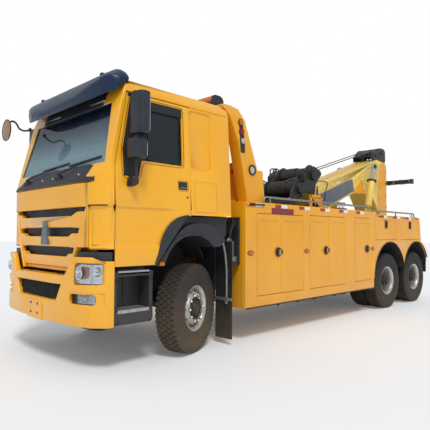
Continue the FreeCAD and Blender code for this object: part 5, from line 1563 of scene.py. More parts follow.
def fender_arches():
    """Moulded arches, with their lips and inner liners, and black plates that stand in for the shade under the cab's
    sill.
    """
    bm = bmesh.new()
    prism(bm, [(0.6, 1.12), (0.5, 1.236), (0.4, 1.356), (0.3, 1.468), (0.215, 1.548), (0.115, 1.606), (0.0, 1.638),
        (-0.15, 1.645), (-0.3, 1.62), (-0.425, 1.562), (-0.52, 1.488), (-0.56, 1.418),
        (-0.47, 1.335)] + arc(FENDER_MIDDLE, 0.472, 137, 20) + [(0.47, 1.12)], "xz", 0.885, 1.196)
    both(bm)
    piece("fender_arches", bm, "chassis", BLACK_PLASTIC, replaces=("steps_and_fenders",), bevel=0.016, segments=4,
        angle=35)
    bm = bmesh.new()
    prism(bm, arc(FENDER_MIDDLE, 0.512, 137, 18) + arc(FENDER_MIDDLE, 0.474, 18, 137), "xz", 1.18, 1.207)
    prism(bm, arc(FENDER_MIDDLE, 0.486, 160, 18, 22) + arc(FENDER_MIDDLE, 0.476, 18, 160, 22), "xz", 0.48, 0.9)
    # A black plate behind the fender's top and a black strip under the cab's sill: painted shade in the gap between
    # the fender and the cab.
    prism(bm, [(0.585, 1.135), (0.11, 1.712), (-0.64, 1.712), (-0.64, 1.46), (-0.3, 1.58), (0.0, 1.6), (0.2, 1.52),
        (0.42, 1.3)], "xz", 0.9, 1.12)
    box(bm, (-0.655, 0.885, 1.7), (0.1, 1.15, 1.722))
    box(bm, (-0.676, 0.48, 0.56), (-0.664, 0.89, 1.705))
    box(bm, (-0.664, 0.47, 1.2), (0.56, 0.484, 1.705))
    both(bm)
    piece("fender_lips_liners_and_shade_plates", bm, "chassis", BLACK_PLASTIC, bevel=0.007, segments=3)


fender_arches()
print("fender arches made")

# %% Front steps
def front_steps():
    """Step boxes and their alloy treads."""
    bm = bmesh.new()
    box(bm, (0.648, 0.902, 0.5), (1.166, 0.984, 1.118))
    prism(bm, rounded([(0.905, 0.5), (1.175, 0.5), (1.204, 0.54), (1.204, 0.664), (0.905, 0.664)], 0.03), "yz", 0.648,
        1.166)
    prism(bm, rounded([(0.95, 1.028), (1.204, 1.028), (1.204, 1.086), (0.95, 1.086)], 0.012), "yz", 0.648, 1.166)
    box(bm, (0.648, 0.982, 0.64), (0.7, 1.196, 1.06))
    box(bm, (1.124, 0.982, 0.64), (1.166, 1.196, 1.06))
    box(bm, (0.655, 0.96, 1.084), (1.16, 1.036, 1.134))
    for place in (0.78, 0.91, 1.04):
        box(bm, (place - 0.012, 0.982, 0.69), (place + 0.012, 0.994, 1.02))
    both(bm)
    piece("step_boxes", bm, "chassis", BLACK_PLASTIC, bevel=0.008, segments=3)
    bm = bmesh.new()
    for low, high, top in (((0.704, 0.99), (1.12, 1.2), 0.672), ((0.704, 1.04), (1.12, 1.2), 1.094)):
        prism(bm, [(low[1], top - 0.007), (high[1] - 0.002, top - 0.007), (high[1] - 0.002, top - 0.038),
            (high[1] + 0.004, top - 0.038), (high[1] + 0.004, top), (low[1], top)], "yz", low[0], high[0])
        checker(bm, (low[0] + 0.01, low[1] + 0.005), (high[0] - 0.01, high[1] - 0.005), top, 0.034, 0.024)
    both(bm)
    piece("step_treads", bm, "chassis", TREAD_ALLOY, bevel=0.001, segments=1)


front_steps()
print("front steps made")

# %% Flaps, bolts and markers
def mud_flaps():
    """Rubber flaps behind the front wheels, and the stays that hold them."""
    bm = bmesh.new()
    prism(bm, rounded([(0.885, 0.082), (1.199, 0.082), (1.199, 1.4), (0.885, 1.4)], 0.02), "yz", -0.69, -0.677)
    for number in range(7):
        box(bm, (-0.677, 0.925 + number * 0.039, 0.16), (-0.674, 0.931 + number * 0.039, 0.52))
    both(bm)
    piece("mud_flaps", bm, "chassis", RUBBER, bevel=0.003)
    bm = bmesh.new()
    box(bm, (-0.678, 0.885, 0.596), (-0.664, 1.199, 0.64))
    for across in (0.915, 0.98, 1.045, 1.175):
        bolt(bm, (-0.664, across, 0.618), "x", 0.01)
    box(bm, (-0.668, 1.09, 0.59), (-0.64, 1.15, 0.65))
    pipe(bm, ((-0.655, 1.12, 0.56), (-0.66, 1.12, 0.8), (-0.648, 1.12, 1.1), (-0.61, 1.112, 1.33),
        (-0.56, 1.1, 1.47)), 0.017, 4)
    both(bm)
    piece("flap_stays", bm, "chassis", RAIL_ZINC, bevel=0.002)


def fender_fittings():
    """Bolts through the fenders, and an amber marker on each."""
    bm = bmesh.new()
    for place, height in ((0.69, 0.53), (1.12, 0.53), (0.672, 0.7), (0.672, 0.99), (1.144, 0.7), (1.144, 0.99)):
        bolt(bm, (place, 1.204 if height < 0.6 else 1.196, height), "y", 0.009)
    for angle in (34, 52, 70, 88, 106, 124):
        place, height = arc(FENDER_MIDDLE, 0.492, angle, angle, 1)[0]
        bolt(bm, (place, 1.207, height), "y", 0.007)
    both(bm)
    piece("fender_bolts", bm, "chassis", RUBBER)
    bm = bmesh.new()
    prism(bm, rounded([(0.48, 1.128), (0.56, 1.128), (0.548, 1.172), (0.492, 1.172)], 0.012), "xz", 1.196, 1.212)
    both(bm)
    piece("fender_markers", bm, "chassis", AMBER_LENS, bevel=0.004, segments=3)


mud_flaps()
fender_fittings()
print("flaps and markers made")

# %% Guards behind the rear wheels
LAST_AXLE = -6.78
ARCH_HEIGHT, ARCH_RADIUS, EDGING_RADIUS = 0.66, 0.69, 0.708


def rear_guards():
    """Guards and flaps behind the rear wheels."""
    bm = bmesh.new()
    wheel = (LAST_AXLE, ARCH_HEIGHT)
    inner = arc(wheel, ARCH_RADIUS, 113, 152, 10)
    prism(bm, inner + list(reversed(arc(wheel, 0.704, 113, 152, 10))), "xz", 0.722, 1.222)
    for across in (0.8, 0.97, 1.14):
        prism(bm, arc(wheel, 0.702, 115, 151, 10) + list(reversed(arc(wheel, 0.716, 115, 151, 10))), "xz",
            across - 0.015, across + 0.015)
    box(bm, (-7.405, 0.722, 0.88), (-7.385, 1.222, 0.985))
    both(bm)
    piece("rear_guards", bm, "chassis", BLACK_PLASTIC, bevel=0.004)
    bm = bmesh.new()
    outer = [(-7.394, 0.978), (-7.4, 1.01), (-7.345, 1.13), (-7.245, 1.245), (-7.14, 1.325), (-7.075, 1.352)]
    prism(bm, list(reversed(outer)) + list(reversed(inner)), "xz", 1.214, BODY_HALF)
    both(bm)
    piece("rear_skirts", bm, "chassis", LOCKER_ENAMEL, bevel=0.004)
    bm = bmesh.new()
    prism(bm, arc(wheel, EDGING_RADIUS, 152, 112, 12) + arc(wheel, ARCH_RADIUS, 112, 152, 12), "xz", 1.226, 1.256)
    both(bm)
    piece("rear_skirt_edging", bm, "chassis", RUBBER, bevel=0.003)
    bm = bmesh.new()
    prism(bm, rounded(rectangle((0.724, 0.64), (1.214, 0.96)), 0.025), "yz", -7.406, -7.398)
    both(bm)
    piece("rear_flaps", bm, "chassis", RUBBER, bevel=0.003)
    bm = bmesh.new()
    box(bm, (-7.416, 0.73, 0.925), (-7.406, 1.208, 0.955))
    for across in (0.76, 0.87, 0.97, 1.07, 1.18):
        bolt(bm, (-7.416, across, 0.94), (-1, 0, 0), 0.009)
    both(bm)
    piece("rear_flap_bars", bm, "chassis", RAIL_ZINC, bevel=0.002)


rear_guards()
print("rear guards made")

# %% [markdown]
# ## Lamps round the truck
# The amber bar on the hoop is a row of domed lenses on a black rail. Three round lamps and a
# ring-shaped one sit on each leg of the hoop, small amber markers along the lockers, and a
# cluster of three on each sloping rear face.

# %% Light bar
def light_bar():
    """Amber lenses in a row on a black rail."""
    bm = bmesh.new()
    section = rounded([(-0.868, 3.38), (-0.612, 3.38), (-0.622, 3.462), (-0.68, 3.499), (-0.8, 3.499),
        (-0.858, 3.462)], 0.035, 5)
    for low, high in ((-0.842, -0.475), (-0.465, -0.15), (0.15, 0.465), (0.475, 0.842)):
        prism(bm, section, "xz", low, high)
    piece("light_bar_lenses", bm, "chassis", AMBER_LENS, replaces=("lamps",), bevel=0.01, segments=3)
    bm = bmesh.new()
    box(bm, (-0.862, -0.85, 3.358), (-0.618, 0.85, 3.384))
    prism(bm, grown(section, -0.004), "xz", -0.14, 0.14)
    for across in (-0.848, -0.47, 0.47, 0.848):
        prism(bm, grown(section, 0.001), "xz", across - 0.004, across + 0.004)
    for across in (-0.6, 0.6):
        box(bm, (-0.84, across - 0.05, 3.352), (-0.64, across + 0.05, 3.366))
    piece("light_bar_rail", bm, "chassis", BLACK_PLASTIC, bevel=0.004)


light_bar()
print("light bar made")

# %% Round lamps and side markers
MARKERS = (-1.01, -2.39, -4.65)
MARKER_HEIGHT = 1.24
# height and place of the three round lamps on each leg of the hoop
LEG_LAMPS = (("amber", AMBER_LENS, 3.08, -0.895), ("red", RED_LENS, 2.95, -0.915),
    ("white", WHITE_LENS, 2.82, -0.935))
RING_LAMP = (-1.15, 2.43)


def round_lamp(bm, centre, radius, depth=0.024):
    """A domed lens that looks along +Y."""
    profile = ((0.0, radius), (depth * 0.55, radius * 0.96), (depth * 0.85, radius * 0.7), (depth, radius * 0.3),
        (depth, 0.0))
    spun(bm, profile, centre, "y", steps=28, closed=False)


def widen(bm, place, reach):
    """Make a round marker lamp oval."""
    for vert in bm.verts:
        if abs(vert.co.x - place) < reach and abs(vert.co.z - MARKER_HEIGHT) < 0.06:
            vert.co.x = place + (vert.co.x - place) * 1.9


def tail_face(height):
    """Where the sloping rear face of the locker body is, at a height."""
    return -6.97 - (1.905 - height) * 0.16064


def on_tail(bm):
    """Lean what is drawn upright behind x = 0 onto the sloping rear face."""
    for vert in bm.verts:
        vert.co.x += tail_face(vert.co.z)


def round_lamps():
    """Lamps on the hoop's legs and markers along the lockers, on black bases."""
    bm = bmesh.new()
    prism(bm, rounded([(-0.868, 3.135), (-0.935, 3.135), (-0.992, 2.79), (-0.992, 2.655), (-0.905, 2.655),
        (-0.89, 2.82)], 0.02), "xz", 1.15, 1.156)
    for _, _, height, place in LEG_LAMPS:
        drum(bm, (place, 1.16, height), "y", 0.05, 0.012, 28, 0.046)
    spun(bm, ((0.0, 0.055), (0.0, 0.078), (0.016, 0.076), (0.022, 0.066), (0.016, 0.056)),
        (RING_LAMP[0], 1.15, RING_LAMP[1]), "y", steps=32)
    for place in MARKERS:
        prism(bm, arc((place, MARKER_HEIGHT), 0.037, 0, 345, 23), "xz", 1.247, 1.252)
        widen(bm, place, 0.045)
    both(bm)
    piece("lamp_bases", bm, "chassis", BLACK_PLASTIC, bevel=0.002)
    for colour, lens, height, place in LEG_LAMPS:
        bm = bmesh.new()
        round_lamp(bm, (place, 1.164, height), 0.041)
        if colour == "amber":
            for marker in MARKERS:
                round_lamp(bm, (marker, 1.251, MARKER_HEIGHT), 0.032, 0.016)
                widen(bm, marker, 0.04)
        if colour == "white":
            round_lamp(bm, (RING_LAMP[0], 1.152, RING_LAMP[1]), 0.054, 0.01)
        both(bm)
        piece(f"round_lamps_{colour}", bm, "chassis", lens)


round_lamps()
print("round lamps and markers made")

# %% Rear clusters
def tail_lamps():
    """A cluster of three on each sloping rear face."""
    bm = bmesh.new()
    box(bm, (-0.028, 0.815, 1.395), (0.004, 1.185, 1.565))
    for across in (0.942, 1.052):
        box(bm, (-0.034, across - 0.003, 1.402), (-0.02, across + 0.003, 1.558))
    box(bm, (-0.02, 0.7, 1.3), (0.004, 1.19, 1.335))
    on_tail(bm)
    both(bm)
    piece("tail_lamp_housings", bm, "chassis", BLACK_PLASTIC, bevel=0.005)
    for colour, lens, low, high in (("red", RED_LENS, 1.058, 1.178), ("amber", AMBER_LENS, 0.948, 1.046),
            ("white", WHITE_LENS, 0.822, 0.936)):
        bm = bmesh.new()
        prism(bm, rounded(rectangle((low, 1.403), (high, 1.557)), 0.015), "yz", -0.038, -0.024)
        on_tail(bm)
        both(bm)
        piece(f"tail_lenses_{colour}", bm, "chassis", lens, bevel=0.004, segments=3)


tail_lamps()
print("rear clusters made")

# %% [markdown]
# ## Locker bodies
# Each body is folded sheet with hollow lockers behind its doors. Its CAD shape keeps those rooms.
# The hand rails are lifted off it and made again as round galvanised tube on flanged feet. Red and white
# reflective strips run along the top, and rubber edging follows the wheel arches.

# %% Locker bodies
# place of each rear wheel arch, and the first and last degree of its edging
ARCHES = ((-WHEELBASE, 0, 168), (LAST_AXLE, 12, 115.5))
FRONT_TOP, REAR_TOP = 1.96, 1.905


def without_rails(bm):
    """Take everything above the two top faces off a locker body."""
    for high, chosen in ((1.9603, lambda place: place.x > -4.9), (1.9053, lambda place: place.x < -4.9)):
        doomed = [vert for vert in bm.verts if vert.co.z > high and chosen(vert.co)]
        bmesh.ops.delete(bm, geom=doomed, context="VERTS")


def in_an_arch(centre, normal):
    """Whether a face of a body looks at a wheel or at the chassis."""
    near = min(math.hypot(centre.x - place, centre.z - ARCH_HEIGHT) for place, _, _ in ARCHES)
    return abs(centre.y) < 0.69 or (abs(normal.y) < 0.5 and near < 0.7)


def locker_bodies():
    """Folded sheet bodies, black where they face a wheel, and the sheets on top of them."""
    for side in ("left", "right"):
        bm = cad_copy(f"body_{side}")
        without_rails(bm)
        body = piece(f"locker_body_{side}", bm, "chassis", LOCKER_ENAMEL, replaces=(f"body_{side}",), bevel=0.007,
            segments=3, angle=40, outward=False)
        line_inside(body, CHASSIS_BLACK, in_an_arch)
    bm = bmesh.new()
    box(bm, (-4.74, 0.69, 1.9595), (-0.905, 1.24, 1.9625))
    box(bm, (-6.965, 0.69, 1.9045), (-4.96, 1.24, 1.9075))
    for inner in (0.72, 1.19):
        box(bm, (-0.902, inner, 0.47), (-0.894, inner + 0.015, 1.93))
    both(bm)
    piece("locker_top_sheets", bm, "chassis", LOCKER_ENAMEL, bevel=0.002, segments=1)


locker_bodies()
print("locker bodies made")

# %% Rails and strips
def hand_rails():
    """Galvanised rails along the top, on flanged feet."""
    bm = bmesh.new()
    for front, rear, height, top in ((-1.37, -4.55, 2.05, FRONT_TOP), (-4.85, -6.75, 1.99, REAR_TOP)):
        across = BODY_HALF - 0.045
        pipe(bm, ((front + 0.02, across, top + 0.004), (front + 0.012, across, height - 0.03),
            (front - 0.03, across, height), (front - 0.1, across, height)), 0.015, 4)
        pipe(bm, ((rear - 0.02, across, top + 0.004), (rear - 0.012, across, height - 0.03),
            (rear + 0.03, across, height), (rear + 0.1, across, height)), 0.015, 4)
        pipe(bm, ((front - 0.09, across, height), (rear + 0.09, across, height)), 0.0165, 4, smooth=False)
        for place in (front - 0.13, (front + rear) / 2, rear + 0.13):
            pipe(bm, ((place, across, top), (place, across, height)), 0.012, 3, smooth=False)
            drum(bm, (place, across, top + 0.006), "z", 0.032, 0.008, 24)
            for shift in (-0.021, 0.021):
                bolt(bm, (place + shift, across, top + 0.01), "z", 0.006)
        for place in (front + 0.02, rear - 0.02):
            drum(bm, (place, across, top + 0.006), "z", 0.032, 0.008, 24)
    both(bm)
    piece("hand_rails", bm, "chassis", RAIL_ZINC, angle=40)


def reflective_strips():
    """Red and white strips along the top edge and on the sloping rear."""
    for colour, material, shift in (("red", RED_TAPE, 0.0), ("white", WHITE_TAPE, -0.152)):
        bm = bmesh.new()
        for first, last, low, high in ((-0.96, -4.6, 1.897, 1.947), (-5.0, -6.8, 1.85, 1.9)):
            for number in range(int((first - last) / 0.61) + 1):
                place = first - 0.61 * number + shift
                prism(bm, rounded(rectangle((place - 0.148, low), (place, high)), 0.004), "xz", BODY_HALF - 0.001,
                    BODY_HALF + 0.0012)
        both(bm)
        for across in (0.86, 1.1):
            made = box(bm, (-0.0015, across + shift * 0.6 - 0.04, 1.7), (0.001, across + shift * 0.6 + 0.045, 1.745))
            made += box(bm, (-0.0015, -across - shift * 0.6 - 0.045, 1.7),
                (0.001, -across - shift * 0.6 + 0.04, 1.745))
            for vert in made:
                vert.co.x += tail_face(vert.co.z)
        piece(f"reflective_strips_{colour}", bm, "chassis", material)


hand_rails()
reflective_strips()
print("rails and strips made")

# %% Edging and hinges
# front edge, rear edge, bottom and top of the five leaves along one side
LOCKER_LEAVES = ((-1.158, -1.715, 0.63, 1.8), (-1.721, -2.291, 0.63, 1.8), (-2.488, -3.041, 0.63, 1.81),
    (-3.047, -3.602, 0.63, 1.81), (-3.951, -4.54, 0.645, 1.82))


def arch_edging():
    """Rubber round the wheel arches and under the lockers."""
    bm = bmesh.new()
    for place, first, last in ARCHES:
        middle = (place, ARCH_HEIGHT)
        prism(bm, arc(middle, EDGING_RADIUS, last, first, 28) + arc(middle, ARCH_RADIUS, first, last, 28), "xz",
            1.226, 1.256)
    box(bm, (-4.69, 1.236, 0.464), (-0.915, 1.252, 0.484))
    for place in (-1.7, -2.2, -3.3):
        drum(bm, (place, 1.2, 0.452), "z", 0.022, 0.03, 20, 0.016)
    both(bm)
    piece("arch_edging", bm, "chassis", RUBBER, bevel=0.003)


def side_fittings():
    """Bare plates, rods and the hinges of the leaves."""
    bm = bmesh.new()
    prism(bm, rounded(rectangle((-2.03, 1.803), (-1.48, 1.895)), 0.01), "xz", 1.2475, 1.251)
    both(bm)
    piece("bare_side_plates", bm, "chassis", DARK_RED, bevel=0.001)
    bm = bmesh.new()
    pipe(bm, ((-0.955, 1.262, 1.925), (-1.3, 1.262, 1.925)), 0.011, 4, smooth=False)
    for place in (-0.99, -1.26):
        box(bm, (place - 0.012, 1.246, 1.914), (place + 0.012, 1.266, 1.936))
    both(bm)
    piece("side_rods", bm, "chassis", RUBBER)
    bm = bmesh.new()
    pipe(bm, ((-0.905, 1.262, 1.925), (-0.957, 1.262, 1.925)), 0.013, 4, smooth=False)
    for number, (front, rear, low, high) in enumerate(LOCKER_LEAVES):
        for height in (low + 0.13, (low + high) / 2, high - 0.13):
            drum(bm, (front if number in (0, 2) else rear, BODY_HALF + 0.001, height), "z", 0.0085, 0.085, 14)
    both(bm)
    piece("locker_hinges", bm, "chassis", LOCKER_ENAMEL, bevel=0.001)


arch_edging()
side_fittings()
print("edging and hinges made")

# %% Locker doors
LEAF_NAMES = ("locker_1_front", "locker_1_rear", "locker_2_front", "locker_2_rear", "locker_3")


def pressed_leaf(front, rear, low, high, margins):
    """A folded sheet door; a panel in it is pressed in. The margins are side, bottom and top."""
    bm = bmesh.new()
    box(bm, (rear, 1.2182, low), (front, BODY_HALF, high))
    outer = [face for face in bm.faces if face.normal.y > 0.9]
    for depth, width in ((0.0, margins[0]), (-0.014, 0.016)):
        bmesh.ops.inset_region(bm, faces=outer, thickness=width, depth=depth, use_even_offset=True)
        if not depth:
            for vert in outer[0].verts:
                vert.co.z += margins[1] if vert.co.z < (low + high) / 2 else -margins[2]
    return bm


def ring_latch(bm, place, height):
    """A recessed ring handle: a rim, a dish and a folding bar across it."""
    radius = 0.062
    spun(bm, ((0.0, radius + 0.01), (0.006, radius + 0.008), (0.008, radius - 0.002), (-0.004, radius - 0.012),
        (-0.006, radius * 0.4), (-0.006, 0.0)), (place, BODY_HALF, height), "y", steps=32, closed=False)
    prism(bm, rounded([(place - 0.014, height - radius * 0.8), (place + 0.014, height - radius * 0.8),
        (place + 0.02, height + radius * 0.8), (place - 0.02, height + radius * 0.8)], 0.012), "xz",
        BODY_HALF - 0.004, BODY_HALF + 0.007)
    drum(bm, (place, BODY_HALF + 0.004, height + radius * 0.45), "y", 0.011, 0.012, 18)


def locker_doors():
    """Five leaves and two lids on each side, with their latches."""
    for side, sign in SIDES:
        for number, (name, (front, rear, low, high)) in enumerate(zip(LEAF_NAMES, LOCKER_LEAVES)):
            body = f"{name}_door_{side}"
            bm = pressed_leaf(front, rear, low, high, (0.052, 0.075, 0.035))
            flip(bm, sign)
            piece(f"{name}_leaf_{side}", bm, body, LOCKER_ENAMEL, replaces=(f"{name}_{side}",), bevel=0.005,
                segments=3)
            bm = bmesh.new()
            if number in (0, 2, 4):
                ring_latch(bm, rear + (0.066 if number < 4 else 0.105), 1.24)
            else:
                box(bm, (front - 0.034, BODY_HALF - 0.002, 1.205), (front - 0.012, BODY_HALF + 0.005, 1.275))
            flip(bm, sign)
            piece(f"{name}_latch_{side}", bm, body, MIRROR_PLASTIC, bevel=0.0015)
        for name, front, rear, grip in (("front", -4.79, -5.78, -5.275), ("rear", -5.975, -6.956, -6.46)):
            body = f"lid_{name}_flap_{side}"
            bm = pressed_leaf(front, rear, 1.41, 1.88, (0.05, 0.02, 0.01))
            flip(bm, sign)
            piece(f"lid_{name}_leaf_{side}", bm, body, LOCKER_ENAMEL, replaces=(f"lid_{name}_{side}",), bevel=0.005,
                segments=3)
            bm = bmesh.new()
            prism(bm, rounded(rectangle((grip - 0.055, 1.64), (grip + 0.055, 1.8)), 0.02), "xz", BODY_HALF - 0.0085,
                BODY_HALF - 0.003)
            box(bm, (grip - 0.012, BODY_HALF - 0.004, 1.665), (grip + 0.012, BODY_HALF + 0.009, 1.775))
            box(bm, (grip - 0.045, BODY_HALF - 0.004, 1.748), (grip + 0.045, BODY_HALF + 0.009, 1.775))
            drum(bm, (grip, BODY_HALF + 0.002, 1.69), "y", 0.014, 0.018, 18)
            for place in (front - 0.16, rear + 0.16):
                box(bm, (place - 0.045, BODY_HALF - 0.002, 1.862), (place + 0.045, BODY_HALF + 0.003, 1.8795))
                drum(bm, (place, BODY_HALF, 1.88), "x", 0.007, 0.09, 14)
            flip(bm, sign)
            piece(f"lid_{name}_latch_{side}", bm, body, MIRROR_PLASTIC, bevel=0.0015)


locker_doors()
print("locker doors made")

# %% [markdown]
# ## Hoop behind the cab
# A welded plate hoop with a low wall between its legs. It gets soft edges, welded gussets, and
# a pair of bare red marker plates on the wall.

# %% Hoop
def hoop():
    """The hoop with its wall and small fittings."""
    softened("hoop_welded", ("hoop",), "chassis", PLATE_ENAMEL, 0.016, 4, 30)
    bm = bmesh.new()
    for across in (-0.62, -0.2, 0.2, 0.62):
        box(bm, (-1.104, across - 0.025, 1.99), (-1.088, across + 0.025, 2.54))
    box(bm, (-1.108, -0.94, 2.535), (-1.08, 0.94, 2.565))
    box(bm, (-0.845, -0.9, 3.1), (-0.7, 0.9, 3.108))
    piece("hoop_ribs", bm, "chassis", PLATE_ENAMEL, bevel=0.004)
    bm = bmesh.new()
    for across in (0.86, 1.0):
        box(bm, (-1.135, across - 0.035, 2.405), (-1.129, across + 0.035, 2.475))
        box(bm, (-1.106, across - 0.075, 2.405), (-1.1, across - 0.005, 2.475))
    both(bm)
    piece("hoop_marker_plates", bm, "chassis", RED_TAPE, bevel=0.002)
    bm = bmesh.new()
    for across, height in ((0.8, 3.108), (0.3, 3.108)):
        pipe(bm, ((-0.77, across, height), (-0.79, across - 0.12, height - 0.03), (-0.77, across - 0.26, height)),
            0.009, 3)
    pipe(bm, ((-1.12, 0.9, 2.0), (-1.1, 0.9, 2.35), (-1.0, 0.93, 2.7), (-0.86, 0.93, 3.03)), 0.012, 3)
    both(bm)
    piece("hoop_wiring", bm, "chassis", RUBBER)


hoop()
print("hoop made")

# %% [markdown]
# ## Deck and winches
# The deck is rolled checker plate. Two planetary winches stand on it in a heavy frame, one above
# and behind the other. Each drum is wound with steel rope, ring beside ring, and driven by a
# motor with hydraulic hoses at its right end.

# %% Deck
DECK_TOP = 1.903


def deck():
    """The deck with its checker plate, boom brackets and control bank."""
    softened("deck_welded", ("deck",), "chassis", PLATE_ENAMEL, 0.008, 3, 30)
    bm = bmesh.new()
    box(bm, (-6.745, -0.676, 1.8995), (-0.965, 0.676, DECK_TOP))
    checker(bm, (-6.74, -0.67), (-0.97, 0.67), DECK_TOP, 0.06, 0.03)
    piece("deck_checker_plate", bm, "chassis", TREAD_ALLOY, angle=60)
    bm = bmesh.new()
    for across in (0.52, -0.52):
        box(bm, (-4.86, across - 0.06, DECK_TOP), (-4.52, across + 0.06, 2.06))
        for number in range(6):
            place = -4.83 + number * 0.056
            pipe(bm, ((place, across, 2.05), (place - 0.004, across + 0.02, 2.15)), 0.006, 3, smooth=False)
            drum(bm, (place - 0.005, across + 0.023, 2.165), (-0.04, 0.2, 1), 0.013, 0.035, 14, 0.01)
    for across in (0.4, -0.4):
        drum(bm, (-4.02, across, 2.16), "z", 0.02, 0.5, 16)
        box(bm, (-4.06, across - 0.04, DECK_TOP), (-3.98, across + 0.04, 1.915))
    piece("control_bank", bm, "chassis", WINCH_GREY, bevel=0.003)
    bm = bmesh.new()
    for across in (0.44, -0.44):
        for height in (2.02, 2.26):
            box(bm, (-4.1, across - 0.025, height - 0.025), (-3.7, across + 0.025, height + 0.025))
        for place in (-3.72, -4.08):
            box(bm, (place - 0.025, across - 0.025, DECK_TOP), (place + 0.025, across + 0.025, 2.285))
        prism(bm, ((-4.1, 2.04), (-4.1, 2.24), (-3.74, 2.24)), "xz", across - 0.006, across + 0.006)
    for across in (0.329, -0.329):
        for angle in range(0, 360, 60):
            spot = Vector((-4.25 + 0.055 * math.cos(math.radians(angle)), across + math.copysign(0.015, across),
                2.17 + 0.055 * math.sin(math.radians(angle))))
            bolt(bm, spot, (0, across, 0), 0.008)
    piece("boom_rest_frames", bm, "chassis", PLATE_ENAMEL, bevel=0.005)


deck()
print("deck made")

# %% Winch frame and hoses
# name, place and height of the two drums
WINCHES = (("front", -3.44, 2.39), ("rear", -3.89, 2.69))


def winch_fittings():
    """The frame with its bolts, collars and bars."""
    softened("winch_frame_welded", ("winch_frame",), "chassis", WINCH_GREY, 0.01, 3, 30)
    bm = bmesh.new()
    for _, place, height in WINCHES:
        for angle in range(0, 360, 45):
            turn = math.radians(angle + 20)
            bolt(bm, (place + 0.085 * math.cos(turn), 0.44, height + 0.085 * math.sin(turn)), "y", 0.01)
            bolt(bm, (place + 0.125 * math.cos(turn), -0.56, height + 0.125 * math.sin(turn)), (0, -1, 0), 0.01)
        spun(bm, ((-0.56, 0.151), (-0.545, 0.168), (-0.52, 0.168), (-0.505, 0.151)), (place, 0, height), "y",
            steps=40)
        spun(bm, ((-0.46, 0.151), (-0.45, 0.16), (-0.425, 0.16), (-0.415, 0.151)), (place, 0, height), "y", steps=40)
        for number in range(4):
            low = -0.69 + 0.028 * number
            spun(bm, ((low, 0.079), (low, 0.088), (low + 0.01, 0.088), (low + 0.01, 0.079)), (place, 0, height), "y",
                steps=28)
        spun(bm, ((0.438, 0.0), (0.446, 0.0), (0.446, 0.055), (0.438, 0.06)), (place, 0, height), "y", steps=32,
            closed=False)
        box(bm, (place - 0.05, -0.675, height + 0.06), (place + 0.05, -0.585, height + 0.115))
    for across in (-0.345, 0.345):
        out = math.copysign(1, across)
        for place, height in ((-3.15, 1.98), (-3.22, 2.2), (-3.92, 1.98), (-3.93, 2.2), (-4.13, 2.72), (-3.7, 2.72)):
            bolt(bm, (place, across + out * 0.035, height), (0, out, 0), 0.014)
    box(bm, (-3.98, -0.345, 1.95), (-3.94, 0.345, 2.1))
    box(bm, (-3.16, -0.345, 1.95), (-3.12, 0.345, 2.18))
    piece("winch_fittings", bm, "chassis", WINCH_GREY, bevel=0.002)


def winch_hoses():
    """Hydraulic hoses to the motors and along the deck."""
    bm = bmesh.new()
    for _, place, height in WINCHES:
        for shift, low in ((-0.03, -0.61), (0.03, -0.65)):
            pipe(bm, ((place + shift, low, height + 0.115), (place + shift, low - 0.01, height + 0.19),
                (place + shift - 0.1, low + 0.02, height + 0.22), (place + shift - 0.24, low + 0.1, height - 0.02),
                (place + shift - 0.3, low + 0.16, 2.2), (place + shift - 0.34, low + 0.18, 1.92)), 0.014, 3)
    for across in (0.18, 0.22, -0.2):
        pipe(bm, ((-3.3, across, 1.96), (-3.2, across + 0.02, 2.08), (-3.02, across + 0.04, 2.06),
            (-2.85, across + 0.05, 1.93), (-2.4, across + 0.03, 1.915)), 0.013, 3)
    for shift in (0.0, 0.05):
        pipe(bm, ((-3.5 - shift, 0.4, 2.5), (-3.4 - shift, 0.46, 2.62), (-3.55 - shift, 0.47, 2.74),
            (-3.78 - shift, 0.45, 2.76)), 0.012, 3)
    piece("winch_hoses", bm, "chassis", RUBBER)


winch_fittings()
winch_hoses()
print("winch frame made")

# %% Drums wound with rope
ROPE = 0.0105


def wound_rope(bm, place, height, radius, first, last):
    """Rings of rope side by side on a drum."""
    cell = bmesh.new()
    section = [(ROPE * math.sin(math.tau * n / 6), radius + ROPE * math.cos(math.tau * n / 6)) for n in range(6)]
    spun(cell, section, (0, 0, 0), "y", steps=40)
    count = int((last - first) / (2 * ROPE))
    set_out(bm, cell, [(place, first + (number + 0.5) * (last - first) / count, height) for number in range(count)])


def rope_drums():
    """The two flanged drums and the rope on them."""
    for name, place, height in WINCHES:
        bm = bmesh.new()
        spun(bm, ((-0.33, 0.0), (-0.33, 0.198), (-0.326, 0.205), (-0.316, 0.205), (-0.312, 0.198), (-0.312, 0.13),
            (0.312, 0.13), (0.312, 0.198), (0.316, 0.205), (0.326, 0.205), (0.33, 0.198), (0.33, 0.0)),
            (place, 0, height), "y", steps=56, closed=False)
        piece(f"{name}_drum_flanged", bm, f"{name}_winch_drum", WINCH_GREY, replaces=(f"{name}_drum",))
        bm = bmesh.new()
        wound_rope(bm, place, height, 0.143, -0.312, 0.312)
        wound_rope(bm, place, height, 0.161, -0.3, 0.16 if name == "front" else 0.04)
        piece(f"{name}_wound_rope", bm, f"{name}_winch_drum", WOUND_STEEL, angle=60)


rope_drums()
print("drums made")

# %% [markdown]
# ## Boom, head and lift cylinders
# The boom is a box girder with a heavier plate on its rear leg. A bare grey plate sits on each
# side. Out of its end comes the sliding head, where two ropes run over grooved sheaves between
# three black cheeks. Chromed rods and yellow barrels push it up.

# %% Boom
BOOM_FRONT, BOOM_RISE = -4.12, 0.32841


def on_boom(place, above):
    """Height of a line that runs `above` the boom's top face."""
    return 2.46 + (BOOM_FRONT - place) * BOOM_RISE + above


